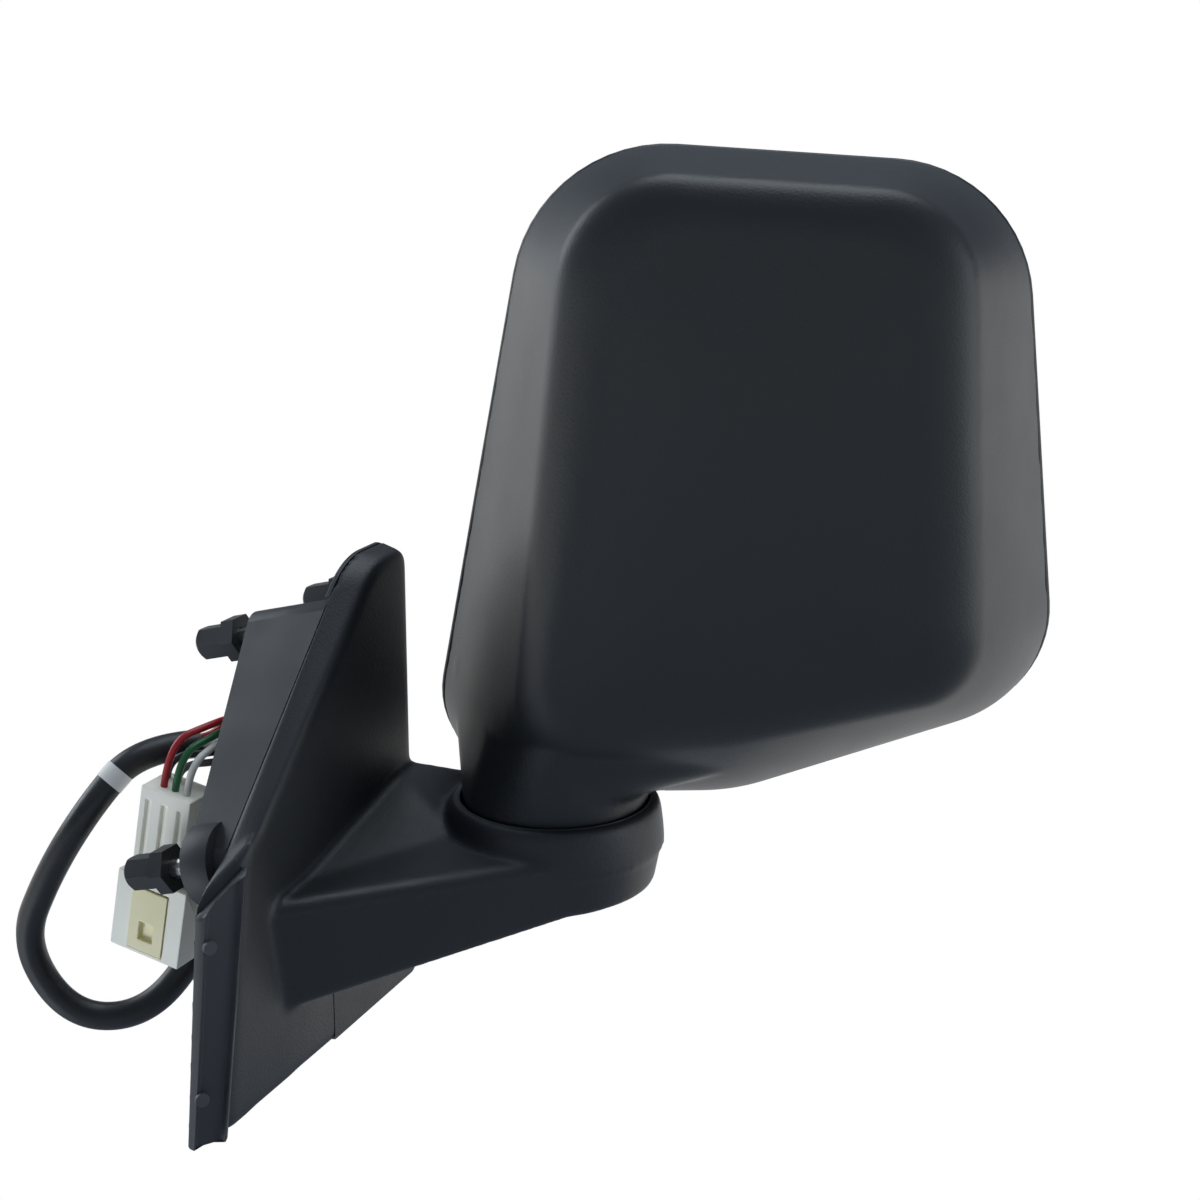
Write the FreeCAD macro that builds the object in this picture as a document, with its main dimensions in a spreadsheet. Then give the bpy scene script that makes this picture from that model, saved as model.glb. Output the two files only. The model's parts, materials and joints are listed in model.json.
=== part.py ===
import FreeCAD, Part
import math
import os
import re
import Sketcher

# Left-hand car door mirror: leaning die-cast base, moulded sail and arm, folding head with a
# motor-driven glass, three mounting studs with transit caps and a short wiring harness.
# Axes: +X outboard from the door, +Y towards the rear of the car, +Z up.
# The origin is on the leaning mounting face of the base.

SIZES = {
    # placing of the main parts
    "lean": 15.0,                # lean of the mounting face from upright, degrees
    "pivot_x": 75.0,
    "pivot_y": 48.0,
    "pivot_z": -15.0,            # height of the seam between the arm and the neck
    "head_yaw": 20.0,            # how far the head sweeps rearward at rest, degrees
    "moving_gap": 0.3,           # gap between faces of pieces that move past each other
    "fit_gap": 0.05,             # radial gap of a snug round fit
    # sail and arm shell
    "rim_x": 17.0,
    "face_x": 25.0,
    "cover_wall": 3.0,
    "sail_top": 57.0,
    "sail_rear": 51.0,
    "sail_heel": -84.0,
    "sail_toe_y": -66.7,
    "sail_toe_z": -89.4,
    "arm_end_r": 33.0,
    "arm_draft": 6.0,
    "arm_top": -8.0,             # arm top below the seam, at the pivot
    "arm_fillet": 17.0,
    "root_bottom": -65.5,
    "end_bottom": -44.0,
    "well_r": 29.2,
    "well_depth": 5.0,
    "bottom_cover_t": 2.5,
    "panel_split": 0.5,
    # bracket
    "boss_r": 12.0,
    "lower_corner_r": 8.2,
    "upper_corner_r": 7.0,
    "heel_u": 14.0,
    "heel_v": -36.0,
    "heel_r": 14.0,
    "bracket_wall": 4.0,
    "lower_u": -34.0,
    "lower_v": -20.5,
    "upper_u": 19.7,
    "upper_v": 33.0,
    "rear_u": 38.0,
    "rear_v": 37.5,
    "rear_depth": 26.0,
    "ear_t": 3.4,
    "ear_r": 7.5,
    "ear_neck_r": 4.5,
    "spine_t": 6.0,
    "spine_r": 24.0,
    "spine_drop": 14.5,          # spine top below the seam
    "seat_r": 18.0,
    "seat_drop": 5.0,
    # studs and caps
    "stud_r": 3.0,
    "stud_grip": 12.0,           # length of stud inside its cap
    "stud_root": 6.0,
    "lower_gap": 11.0,           # bare shank between the base and each cap
    "upper_gap": 6.0,
    "rear_gap": 3.0,
    "collar_af": 12.5,
    "collar_t": 4.5,
    "barrel_af": 9.2,
    "cap_len": 15.5,
    # pivot stack
    "post_r": 9.0,
    "post_bore": 5.5,
    "post_flange_r": 14.0,
    "post_flange_t": 2.0,
    "post_top": 15.0,
    "ring_t": 3.0,
    "bush_wall": 1.5,
    "barrel_wall": 5.0,
    "barrel_top": 4.0,
    "disc_t": 1.0,
    "disc_rise": 0.6,
    "disc_r": 14.5,
    "washer_t": 1.5,
    "retainer_t": 3.0,
    "neck_r": 28.0,
    "neck_skirt": 3.0,
    # head shell
    "front_y": -38.0,
    "glass_side_y": 28.0,
    "shell_wall": 2.5,
    "crease_r": 9.0,
    "frame_y": -12.5,
    "frame_t": 4.0,
    # glass drive
    "drive_x": 52.0,
    "drive_z": 97.0,
    "gimbal_y": 14.5,
    "screw_offset": 28.0,
    "case_back": -12.4,
    "case_split": 3.5,
    "case_front": 8.5,
    "rod_tail": -5.5,
    "case_wall": 2.0,
    "ball_r": 3.5,
    "rod_r": 2.5,
    "gear_r": 11.0,
    "gear_teeth": 24.0,
    "gear_y": -4.0,
    "gear_w": 5.0,
    "worm_r": 2.6,
    "motor_r": 6.2,
    "motor_len": 20.0,
    "pin_r": 1.5,
    "ring_in": 6.5,
    "ring_out": 10.0,
    "ring_w": 4.0,
    "holder_y": 19.0,
    "holder_t": 2.0,
    "pad_t": 1.0,
    "glass_t": 2.2,
    # harness
    "sleeve_d": 8.5,
    "wire_d": 2.2,
    "lead_d": 3.4,
}

doc = FreeCAD.newDocument("door_mirror")
sheet = doc.addObject("Spreadsheet::Sheet", "sizes")
for row, (alias, number) in enumerate(SIZES.items(), start=1):
    sheet.set("A%d" % row, alias)
    sheet.set("B%d" % row, str(number))
    sheet.setAlias("B%d" % row, alias)
doc.recompute()

V = FreeCAD.Vector
NODES = []


# ---------------------------------------------------------------- reading and binding sizes

def size(alias):
    """The value of one driving dimension."""
    return float(sheet.get(alias))


def qualified(text):
    """An expression in plain size names, rewritten so that it reads the sheet."""
    def swap(match):
        word = match.group(0)
        return "sizes." + word if word in SIZES else word
    return re.sub(r"[a-z][a-z0-9_]*", swap, text)


def value(text):
    """The number that an expression has now."""
    return float(sheet.evalExpression(qualified(text)))


def bind(target, prop, text):
    """Tie a property to an expression in size names."""
    target.setExpression(prop, qualified(text))


# ---------------------------------------------------------------- bodies and sketches

def new_body(label):
    body = doc.addObject("PartDesign::Body", label)
    body.Label = label
    return body


def new_sketch(body, role, offset="0"):
    plane = [item for item in body.Origin.OriginFeatures if item.Role == role][0]
    sketch = body.newObject("Sketcher::SketchObject", body.Label + "_sketch")
    sketch.AttachmentSupport = [(plane, "")]
    sketch.MapMode = "FlatFace"
    bind(sketch, "AttachmentOffset.Base.z", offset)
    return sketch


def pin_point(sketch, index, where, x, y):
    """Hold a point of the sketch at a place given by two expressions."""
    for kind, text in (("DistanceX", x), ("DistanceY", y)):
        number = sketch.addConstraint(Sketcher.Constraint(kind, -1, 1, index, where, value(text)))
        bind(sketch, "Constraints[%d]" % number, text)


def outline(sketch, corners):
    """A closed run of straight lines through corners given as expressions."""
    first = sketch.GeometryCount
    points = [V(value(x), value(y), 0) for x, y in corners]
    count = len(points)
    for here, there in zip(points, points[1:] + points[:1]):
        sketch.addGeometry(Part.LineSegment(here, there))
    for step in range(count):
        sketch.addConstraint(
            Sketcher.Constraint("Coincident", first + step, 2, first + (step + 1) % count, 1))
    for step, (x, y) in enumerate(corners):
        pin_point(sketch, first + step, 1, x, y)


def circle(sketch, x, y, radius):
    """A circle whose centre and radius are expressions."""
    index = sketch.addGeometry(Part.Circle(V(value(x), value(y), 0), V(0, 0, 1), value(radius)))
    pin_point(sketch, index, 3, x, y)
    number = sketch.addConstraint(Sketcher.Constraint("Radius", index, value(radius)))
    bind(sketch, "Constraints[%d]" % number, radius)


def pad(body, sketch, length, back=False):
    feature = body.newObject("PartDesign::Pad", body.Label + "_pad")
    feature.Profile = sketch
    bind(feature, "Length", length)
    feature.Reversed = back
    return feature


def pocket(body, sketch, length=None, back=False):
    """Cut along the sketch's normal, through everything when no length is given."""
    feature = body.newObject("PartDesign::Pocket", body.Label + "_pocket")
    feature.Profile = sketch
    if length is None:
        feature.Type = "ThroughAll"
    else:
        bind(feature, "Length", length)
    feature.Reversed = back
    return feature


def turned(label, corners):
    """A body turned about its own Z axis from an outline of radius and height pairs."""
    body = new_body(label)
    sketch = new_sketch(body, "XZ_Plane")
    outline(sketch, corners)
    feature = body.newObject("PartDesign::Revolution", label + "_turn")
    feature.Profile = sketch
    feature.ReferenceAxis = (sketch, ["V_Axis"])
    feature.Angle = 360.0
    return body


def ring_of(label, inner, outer, bottom, top):
    """A plain ring or washer about Z."""
    return turned(label, [(inner, bottom), (outer, bottom), (outer, top), (inner, top)])


def node(item, placement=None):
    """Register a finished sub-part, and put it in its place."""
    if placement is not None:
        item.Placement = placement
    NODES.append(item)
    return item


def feature_node(label, shape, placement=None):
    """A sub-part whose shape is worked out with the geometry kernel's own functions."""
    item = doc.addObject("Part::Feature", label)
    item.Label = label
    item.Shape = shape
    return node(item, placement)


# ---------------------------------------------------------------- geometry helpers

def inset(points, margins):
    """Move each side of a closed outline inwards, by its own margin, and join the sides again."""
    count = len(points)
    if not isinstance(margins, (list, tuple)):
        margins = [margins] * count
    lines = []
    for step in range(count):
        ax, ay = points[step]
        bx, by = points[(step + 1) % count]
        length = math.hypot(bx - ax, by - ay)
        nx, ny = -(by - ay) / length, (bx - ax) / length
        lines.append((ax + nx * margins[step], ay + ny * margins[step], bx - ax, by - ay))
    result = []
    for step in range(count):
        ax, ay, adx, ady = lines[step - 1]
        bx, by, bdx, bdy = lines[step]
        share = ((bx - ax) * bdy - (by - ay) * bdx) / (adx * bdy - ady * bdx)
        result.append((ax + adx * share, ay + ady * share))
    return result


def rounded_wire(points, radii):
    """A closed wire of straight sides whose corners are round arcs. Points are 3-D vectors."""
    count = len(points)
    starts, mids, ends = [], [], []
    for step in range(count):
        corner = points[step]
        before = (points[step - 1] - corner).normalize()
        after = (points[(step + 1) % count] - corner).normalize()
        half = before.getAngle(after) / 2.0
        reach = radii[step] / math.tan(half)
        middle = (before + after).normalize()
        centre = corner + middle * (radii[step] / math.sin(half))
        starts.append(corner + before * reach)
        ends.append(corner + after * reach)
        mids.append(centre - middle * radii[step])
    edges = []
    for step in range(count):
        edges.append(Part.Arc(starts[step], mids[step], ends[step]).toShape())
        edges.append(Part.LineSegment(ends[step], starts[(step + 1) % count]).toShape())
    return Part.Wire(edges)


def hull_wire(circles, z):
    """The outline of a belt laid round circles (x, y, radius), listed anticlockwise."""
    count = len(circles)
    leave, reach = [], []
    for step in range(count):
        ax, ay, ar = circles[step]
        bx, by, br = circles[(step + 1) % count]
        gap = math.hypot(bx - ax, by - ay)
        heading = math.atan2(by - ay, bx - ax)
        normal = heading - math.acos((ar - br) / gap)
        leave.append(V(ax + ar * math.cos(normal), ay + ar * math.sin(normal), z))
        reach.append(V(bx + br * math.cos(normal), by + br * math.sin(normal), z))
    edges = []
    for step in range(count):
        cx, cy, cr = circles[step]
        start, end = reach[step - 1], leave[step]
        a0 = math.atan2(start.y - cy, start.x - cx)
        a1 = math.atan2(end.y - cy, end.x - cx)
        if a1 < a0:
            a1 += 2 * math.pi
        half = (a0 + a1) / 2
        mid = V(cx + cr * math.cos(half), cy + cr * math.sin(half), z)
        edges.append(Part.Arc(start, mid, end).toShape())
        edges.append(Part.LineSegment(end, reach[step]).toShape())
    return Part.Wire(edges)


def prism(wire, direction):
    return Part.Face(wire).extrude(direction)


def loft(wires):
    return Part.makeLoft(wires, True, True)


def rod(radius, start, end):
    """A solid cylinder from one point to another."""
    way = end - start
    return Part.makeCylinder(radius, way.Length, start, way)


def half_space(low, high):
    """A box between two corners, used to trim."""
    return Part.makeBox(high.x - low.x, high.y - low.y, high.z - low.z, low)


def cord_path(points):
    """Straight runs joined by arcs, each as large as its two runs allow. Also gives the radii."""
    edges, radii = [], []
    here = points[0]
    for before, corner, after in zip(points, points[1:], points[2:]):
        back = (before - corner).normalize()
        ahead = (after - corner).normalize()
        turn = math.pi - back.getAngle(ahead)
        reach = 0.45 * min((before - corner).Length, (after - corner).Length)
        radius = reach / math.tan(turn / 2)
        radii.append(radius)
        start, end = corner + back * reach, corner + ahead * reach
        middle = (back + ahead).normalize()
        centre = corner + middle * math.hypot(reach, radius)
        edges.append(Part.LineSegment(here, start).toShape())
        edges.append(Part.Arc(start, centre - middle * radius, end).toShape())
        here = end
    edges.append(Part.LineSegment(here, points[-1]).toShape())
    return Part.Wire(edges), radii


def tube(label, points, diameter):
    """A round cord along a route, with its length and tightest bend reported."""
    path, radii = cord_path(points)
    start = points[0]
    section = Part.Wire(Part.makeCircle(diameter / 2, start, points[1] - start))
    solid = path.makePipeShell([section], True, False)
    expected = math.pi * diameter ** 2 / 4 * path.Length
    print("%s: length %.1f mm, tightest bend %.1f mm, volume ratio %.4f"
          % (label, path.Length, min(radii), solid.Volume / expected))
    return solid


# ---------------------------------------------------------------- frames of reference

LEAN = math.radians(size("lean"))
MOUNT = FreeCAD.Placement(
    V(0, 0, 0),
    FreeCAD.Rotation(V(0, 1, 0), V(-math.sin(LEAN), 0, math.cos(LEAN)),
                     V(math.cos(LEAN), 0, math.sin(LEAN)), "XYZ"))
PIVOT = V(size("pivot_x"), size("pivot_y"), size("pivot_z"))
UPRIGHT = FreeCAD.Placement(PIVOT, FreeCAD.Rotation())
HEAD = FreeCAD.Placement(PIVOT, FreeCAD.Rotation(V(0, 0, 1), size("head_yaw")))
GAP = size("moving_gap")
FIT = size("fit_gap")


def from_mount(u, v, w):
    """A point given along, up and out from the mounting face."""
    return MOUNT.multVec(V(u, v, w))


def seam_margin():
    """How far the bracket's wedge stops short of the cover's rim."""
    return size("rim_x") - GAP


# ---------------------------------------------------------------- base: sail and arm shell

RIM = [(size("sail_rear"), size("sail_top")), (27.0, size("sail_top")), (-44.0, -13.0), (-57.7, -20.7),
       (size("sail_toe_y"), size("sail_toe_z")), (size("sail_rear"), size("sail_heel"))]
FACE = [(50.0, 55.0), (32.0, 55.0), (-36.0, -5.0), (-42.4, -8.0), (-58.0, -88.0), (50.0, -82.5)]
CORNERS = [4.5, 24.0, 12.0, 12.0, 4.0, 4.0]


def upright_wire(points, radii, x):
    """An outline of (y, z) points standing in a plane of constant x."""
    return rounded_wire([V(x, y, z) for y, z in points], radii)


def sail_solid(margin, inboard, outboard):
    """The flaring body of the sail between two planes, inset by a margin."""
    radii = [max(radius - margin, 1.0) for radius in CORNERS]
    return loft([upright_wire(inset(RIM, margin), radii, inboard),
                 upright_wire(inset(FACE, margin), radii, outboard)])


def arm_circles(margin, z):
    """Plan of the arm at a height: two small circles at the root and a large one at the pivot."""
    top = PIVOT.z + size("arm_top")
    share = (top - z) / (top - size("root_bottom"))
    narrow = size("arm_draft") * share + margin
    return [(20.0, -28.0 + 14.0 * share + margin, 3.0),
            (PIVOT.x, PIVOT.y, size("arm_end_r") - narrow),
            (20.0, 47.0 - narrow, 3.0)]


def side_profile(margin, closed):
    """Side view of the arm: level top, concave sweep up to the sail, sloping underside."""
    top = PIVOT.z + size("arm_top")
    sweep = size("arm_fillet")
    face = size("face_x")
    back = size("rim_x") - 1.0
    start = V(face + sweep, 0, top - 3.0 - margin)
    centre = V(face + sweep, 0, top - 3.0 + sweep)
    slant = (sweep + margin) * math.sqrt(0.5)
    arc = Part.Arc(start, centre + V(-slant, 0, -slant), centre + V(-sweep - margin, 0, 0))
    crest = centre + V(-sweep - margin, 0, 0)
    far = PIVOT.x + 40.0
    if closed:
        low = [V(back, 0, size("root_bottom")), V(face, 0, size("root_bottom")),
               V(PIVOT.x - 5.0, 0, size("end_bottom") - 1.0), V(far, 0, size("end_bottom") + 3.0)]
    else:
        low = [V(back, 0, size("root_bottom") + margin), V(face + 0.2, 0, size("root_bottom") + margin),
               V(face + 0.2, 0, size("sail_toe_z")), V(far, 0, size("sail_toe_z"))]
    high = [V(far, 0, top - margin), V(PIVOT.x - 15.0, 0, top - margin)]
    points = [crest, V(back, 0, crest.z)] + low + high + [start]
    edges = [arc.toShape()]
    for here, there in zip(points, points[1:]):
        edges.append(Part.LineSegment(here, there).toShape())
    return Part.Wire(edges)


def arm_solid(margin, closed=True):
    """The arm: its tapering plan cut to its side view."""
    plan = loft([hull_wire(arm_circles(margin, z), z) for z in (size("sail_toe_z"), PIVOT.z + 10.0)])
    wire = side_profile(margin, closed)
    wire.translate(V(0, -150, 0))
    side = prism(wire, V(0, 300, 0))
    return plan.common(side)


def screw_bosses(radius, start, end):
    """Cylinders square to the mounting face, one for each cover screw."""
    places = [(-20.0, -8.0), (5.0, 15.5), (18.0, -10.0)]
    return [rod(radius, from_mount(u, v, start), from_mount(u, v, end)) for u, v in places]


ARM_SCREWS = [(40.0, 14.0), (46.0, 40.0)]
UNDERSIDE_RISE = 0.43
WALL = size("cover_wall")
RIM_X, FACE_X = size("rim_x"), size("face_x")
BELOW = size("root_bottom") - 1.0
PANEL_ZONE = half_space(V(-50, 0, -150), V(60, 200, BELOW))
ARM_TOP = PIVOT.z + size("arm_top")
WELL_FLOOR = PIVOT.z - size("well_depth")


def cover_shell():
    """Sail tray and arm in one hollow moulding, with the well for the neck."""
    outer = sail_solid(0, RIM_X, FACE_X).fuse(arm_solid(0))
    outer = outer.cut(sail_solid(WALL, RIM_X - 0.5, FACE_X - WALL)).cut(arm_solid(WALL, False))
    end_r = size("arm_end_r")
    rise = 0.5 - size("arm_top")
    turret = Part.makeCone(end_r - 0.4, end_r - 2.2, rise, V(PIVOT.x, PIVOT.y, ARM_TOP - 0.5))
    deck = Part.makeCylinder(end_r - 2.0, WALL + 0.2, V(PIVOT.x, PIVOT.y, ARM_TOP - WALL - 0.1))
    shell = outer.fuse(turret).fuse(deck)
    well = Part.makeCylinder(size("well_r"), 40, V(PIVOT.x, PIVOT.y, WELL_FLOOR))
    hole = Part.makeCylinder(size("seat_r") + GAP, 60, V(PIVOT.x, PIVOT.y, WELL_FLOOR - 30))
    shell = shell.cut(well).cut(hole)
    limit = half_space(V(-60, -200, -150), V(FACE_X - WALL + 1.0, 200, 150))
    for boss in screw_bosses(4.0, size("bracket_wall") + GAP, 45.0):
        shell = shell.fuse(boss.common(limit))
    for core in screw_bosses(1.65, 0.0, 18.0):
        shell = shell.cut(core)
    return shell.removeSplitter()


def build_cover():
    shell = cover_shell()
    split = half_space(V(-50, -size("panel_split"), -150), V(60, 200, BELOW + size("panel_split")))
    feature_node("base_cover", shell.cut(split))
    feature_node("corner_panel", shell.common(PANEL_ZONE))


def build_bottom_cover():
    """Closing plate under the arm, with two recessed screw pads."""
    thick = size("bottom_cover_t")
    body = arm_solid(WALL + GAP)
    lifted = arm_solid(0)
    lifted.translate(V(0, 0, thick))
    front = half_space(V(FACE_X + 1.0, -200, -150), V(200, 200, 0))
    plate = body.common(front).cut(lifted)
    spine_low = PIVOT.z - size("spine_drop") - size("spine_t")
    for x, y in ARM_SCREWS:
        pad_low = size("root_bottom") + (x - FACE_X) * UNDERSIDE_RISE + 1.0
        plate = plate.fuse(Part.makeCylinder(6.0, 6.0, V(x, y, pad_low)))
        plate = plate.cut(Part.makeCylinder(4.2, 20.0, V(x, y, pad_low - 16.5)))
        plate = plate.cut(Part.makeCylinder(1.9, 20.0, V(x, y, pad_low - 1)))
    feature_node("arm_bottom_cover", plate.removeSplitter())
    screws = []
    for x, y in ARM_SCREWS:
        pad_low = size("root_bottom") + (x - FACE_X) * UNDERSIDE_RISE + 1.0
        head = Part.makeCylinder(3.8, 2.4, V(x, y, pad_low + 1.0))
        shank = Part.makeCylinder(1.6, spine_low + 2.0 - pad_low, V(x, y, pad_low + 1.0))
        screws.append(head.fuse(shank))
    feature_node("arm_cover_screws", Part.makeCompound(screws))


# ---------------------------------------------------------------- base: bracket, studs, seals

def wedge_circles(margin):
    return [(size("lower_u"), size("lower_v"), size("lower_corner_r") - margin),
            (size("heel_u"), size("heel_v"), size("heel_r") - margin),
            (size("upper_u"), size("upper_v"), size("upper_corner_r") - margin)]


LOWER = (size("lower_u"), size("lower_v"), 0.0, size("lower_gap"))
UPPER = (size("upper_u"), size("upper_v"), 0.0, size("upper_gap"))
REAR = (size("rear_u"), size("rear_v"), size("rear_depth"), size("rear_gap"))
STUDS = [("cap_lower", LOWER), ("cap_upper", UPPER), ("cap_rear", REAR)]
GROMMET = (8.0, -14.0)
GROMMET_R = 6.5


def build_bracket():
    """Cored wedge, boss and ear for the studs, and the spine that carries the pivot seat."""
    wall = size("bracket_wall")
    deep = 60.0
    wedge = prism(hull_wire(wedge_circles(0), 0), V(0, 0, deep))
    core = prism(hull_wire(wedge_circles(wall), wall), V(0, 0, deep))
    boss = Part.makeCylinder(size("boss_r"), 9.0, V(size("lower_u"), size("lower_v"), 0))
    solid = wedge.fuse(boss).cut(core)
    for u, v in ((size("lower_u"), size("lower_v")), (size("upper_u"), size("upper_v"))):
        solid = solid.fuse(Part.makeCylinder(size("stud_r") + 3.0, 9.0, V(u, v, 0)))
    solid.Placement = MOUNT
    room = half_space(V(-80, -100, -120), V(seam_margin(), 100, 120))
    solid = solid.common(room)
    depth, thick = size("rear_depth"), size("ear_t")
    ear = prism(hull_wire([(size("upper_u"), size("upper_v"), size("ear_neck_r")),
                           (size("rear_u"), size("rear_v"), size("ear_r"))], depth), V(0, 0, thick))
    ear = ear.fuse(Part.makeCylinder(size("ear_neck_r"), depth, V(size("upper_u"), size("upper_v"), 0)))
    ear.Placement = MOUNT
    ear = ear.common(sail_solid(WALL + GAP, RIM_X - 0.5, FACE_X - WALL).fuse(room))
    top = PIVOT.z - size("spine_drop")
    circles = [(13.0, 0.0, 5.0), (PIVOT.x, PIVOT.y, size("spine_r")), (13.0, 21.0, 5.0)]
    spine = prism(hull_wire(circles, top - size("spine_t")), V(0, 0, size("spine_t")))
    seat_top = PIVOT.z - size("seat_drop")
    seat = Part.makeCylinder(size("seat_r"), seat_top - top + 1.0, V(PIVOT.x, PIVOT.y, top - 1.0))
    solid = solid.fuse(ear).fuse(spine).fuse(seat)
    for x, y in ARM_SCREWS:
        pad_top = size("root_bottom") + (x - FACE_X) * UNDERSIDE_RISE + 7.0 + GAP
        solid = solid.fuse(Part.makeCylinder(4.0, top - 1.0 - pad_top, V(x, y, pad_top)))
        solid = solid.cut(Part.makeCylinder(1.65, top - 3.0 - pad_top, V(x, y, pad_top)))
    bore = size("post_r") + FIT
    solid = solid.cut(Part.makeCylinder(bore, 80, V(PIVOT.x, PIVOT.y, top - 40)))
    for _, (u, v, depth, _) in STUDS:
        solid = solid.cut(rod(size("stud_r") + FIT, from_mount(u, v, depth - 1.0),
                              from_mount(u, v, depth + min(size("stud_root"), 20.0) + FIT)))
    for hole in screw_bosses(2.2, -1.0, 6.0) + screw_bosses(4.3, -1.0, 2.6):
        solid = solid.cut(hole)
    u, v = GROMMET
    solid = solid.cut(rod(GROMMET_R, from_mount(u, v, -1.0), from_mount(u, v, wall + 1.5)))
    solid = solid.cut(rod(4.6, from_mount(u, v, wall), from_mount(u, v, wall + 24.0)))
    feature_node("base_bracket", solid.removeSplitter())


def build_studs():
    studs = []
    for _, (u, v, depth, gap) in STUDS:
        root = min(size("stud_root"), size("ear_t") if depth else size("stud_root"))
        studs.append(rod(size("stud_r"), from_mount(u, v, depth + root),
                         from_mount(u, v, depth - gap - size("stud_grip"))))
    feature_node("mounting_studs", Part.makeCompound(studs))
    screws = []
    heads = screw_bosses(3.9, 0.3, 2.5)
    for head, shank in zip(heads, screw_bosses(1.6, 0.4, 14.0)):
        screws.append(head.fuse(shank))
    feature_node("cover_screws", Part.makeCompound(screws))


def build_caps():
    """Plastic transit caps: a hexagonal collar and a slimmer hexagonal barrel with a blunt tip."""
    for label, (u, v, depth, gap) in STUDS:
        body = new_body(label)
        collar = body.newObject("PartDesign::AdditivePrism", label + "_collar")
        collar.Polygon = 6
        bind(collar, "Circumradius", "collar_af / sqrt(3)")
        bind(collar, "Height", "collar_t")
        barrel = body.newObject("PartDesign::AdditivePrism", label + "_barrel")
        barrel.Polygon = 6
        bind(barrel, "Circumradius", "barrel_af / sqrt(3)")
        bind(barrel, "Height", "cap_len")
        tip = new_sketch(body, "XZ_Plane")
        outline(tip, [("barrel_af / sqrt(3) - 1.5", "cap_len"), ("barrel_af", "cap_len"),
                      ("barrel_af", "cap_len - 1.5 - barrel_af * (1 - 1 / sqrt(3))")])
        groove = body.newObject("PartDesign::Groove", label + "_tip")
        groove.Profile = tip
        groove.ReferenceAxis = (tip, ["V_Axis"])
        groove.Angle = 360.0
        bore = new_sketch(body, "XY_Plane")
        circle(bore, "0", "0", "stud_r + fit_gap")
        pocket(body, bore, "stud_grip + 1", back=True)
        turn = FreeCAD.Rotation(V(1, 0, 0), 180)
        node(body, MOUNT.multiply(FreeCAD.Placement(V(u, v, depth - gap), turn)))


def build_seals():
    """Foam gasket on the rim, rubber channel on the front lower edge, and its clips."""
    outer = Part.Face(upright_wire(inset(RIM, 0.4), CORNERS, RIM_X)).extrude(V(-1.4, 0, 0))
    inner_radii = [max(radius - 2.2, 1.0) for radius in CORNERS]
    inner = Part.Face(upright_wire(inset(RIM, 2.6), inner_radii, RIM_X + 1)).extrude(V(-4, 0, 0))
    gasket = outer.cut(inner)
    keep_out = prism(hull_wire(wedge_circles(-1.5), -20), V(0, 0, 80))
    keep_out.Placement = MOUNT
    gasket = gasket.cut(keep_out)
    keep_out = half_space(V(-50, -200, -200), V(60, -40.0, 200))
    gasket = gasket.cut(keep_out)
    solids = sorted(gasket.Solids, key=lambda item: item.Volume)
    feature_node("base_gasket", solids[-1])

    def strip_section(share, inner, outer):
        """Four corners across the band at a share of the way down it."""
        def blend(a, b):
            return a + (b - a) * share
        rim = V(RIM_X, blend(RIM[3][0], RIM[4][0]), blend(RIM[3][1], RIM[4][1]))
        face = V(FACE_X, blend(FACE[3][0], FACE[4][0]), blend(FACE[3][1], FACE[4][1]))
        across = (face - rim).normalize()
        normal = V(across.y, -across.x, 0).normalize()
        low, high = rim + across * 0.8, face - across * 0.8
        corners = [low + normal * inner, high + normal * inner, high + normal * outer, low + normal * outer]
        return Part.makePolygon(corners + corners[:1])

    strip = loft([strip_section(0.08, FIT, 3.0), strip_section(0.985, FIT, 3.0)])
    feature_node("door_edge_seal", strip)
    clips = []
    for share in (0.2, 0.8):
        corners = strip_section(share, 3.0 + GAP, 4.2).Vertexes
        low, high, out = corners[0].Point, corners[1].Point, corners[3].Point
        spot = low + (high - low) * 0.2
        clips.append(Part.makeCylinder(2.0, 1.2, spot, out - low))
    feature_node("edge_seal_clips", Part.makeCompound(clips))


def build_grommet():
    """Rubber bush that takes the sleeve through the mounting face."""
    body = ring_of("harness_grommet", "sleeve_d / 2 + fit_gap", "6.4", "0", "5.4")
    u, v = GROMMET
    node(body, MOUNT.multiply(FreeCAD.Placement(V(u, v, 0), FreeCAD.Rotation())))


# ---------------------------------------------------------------- pivot

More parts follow.
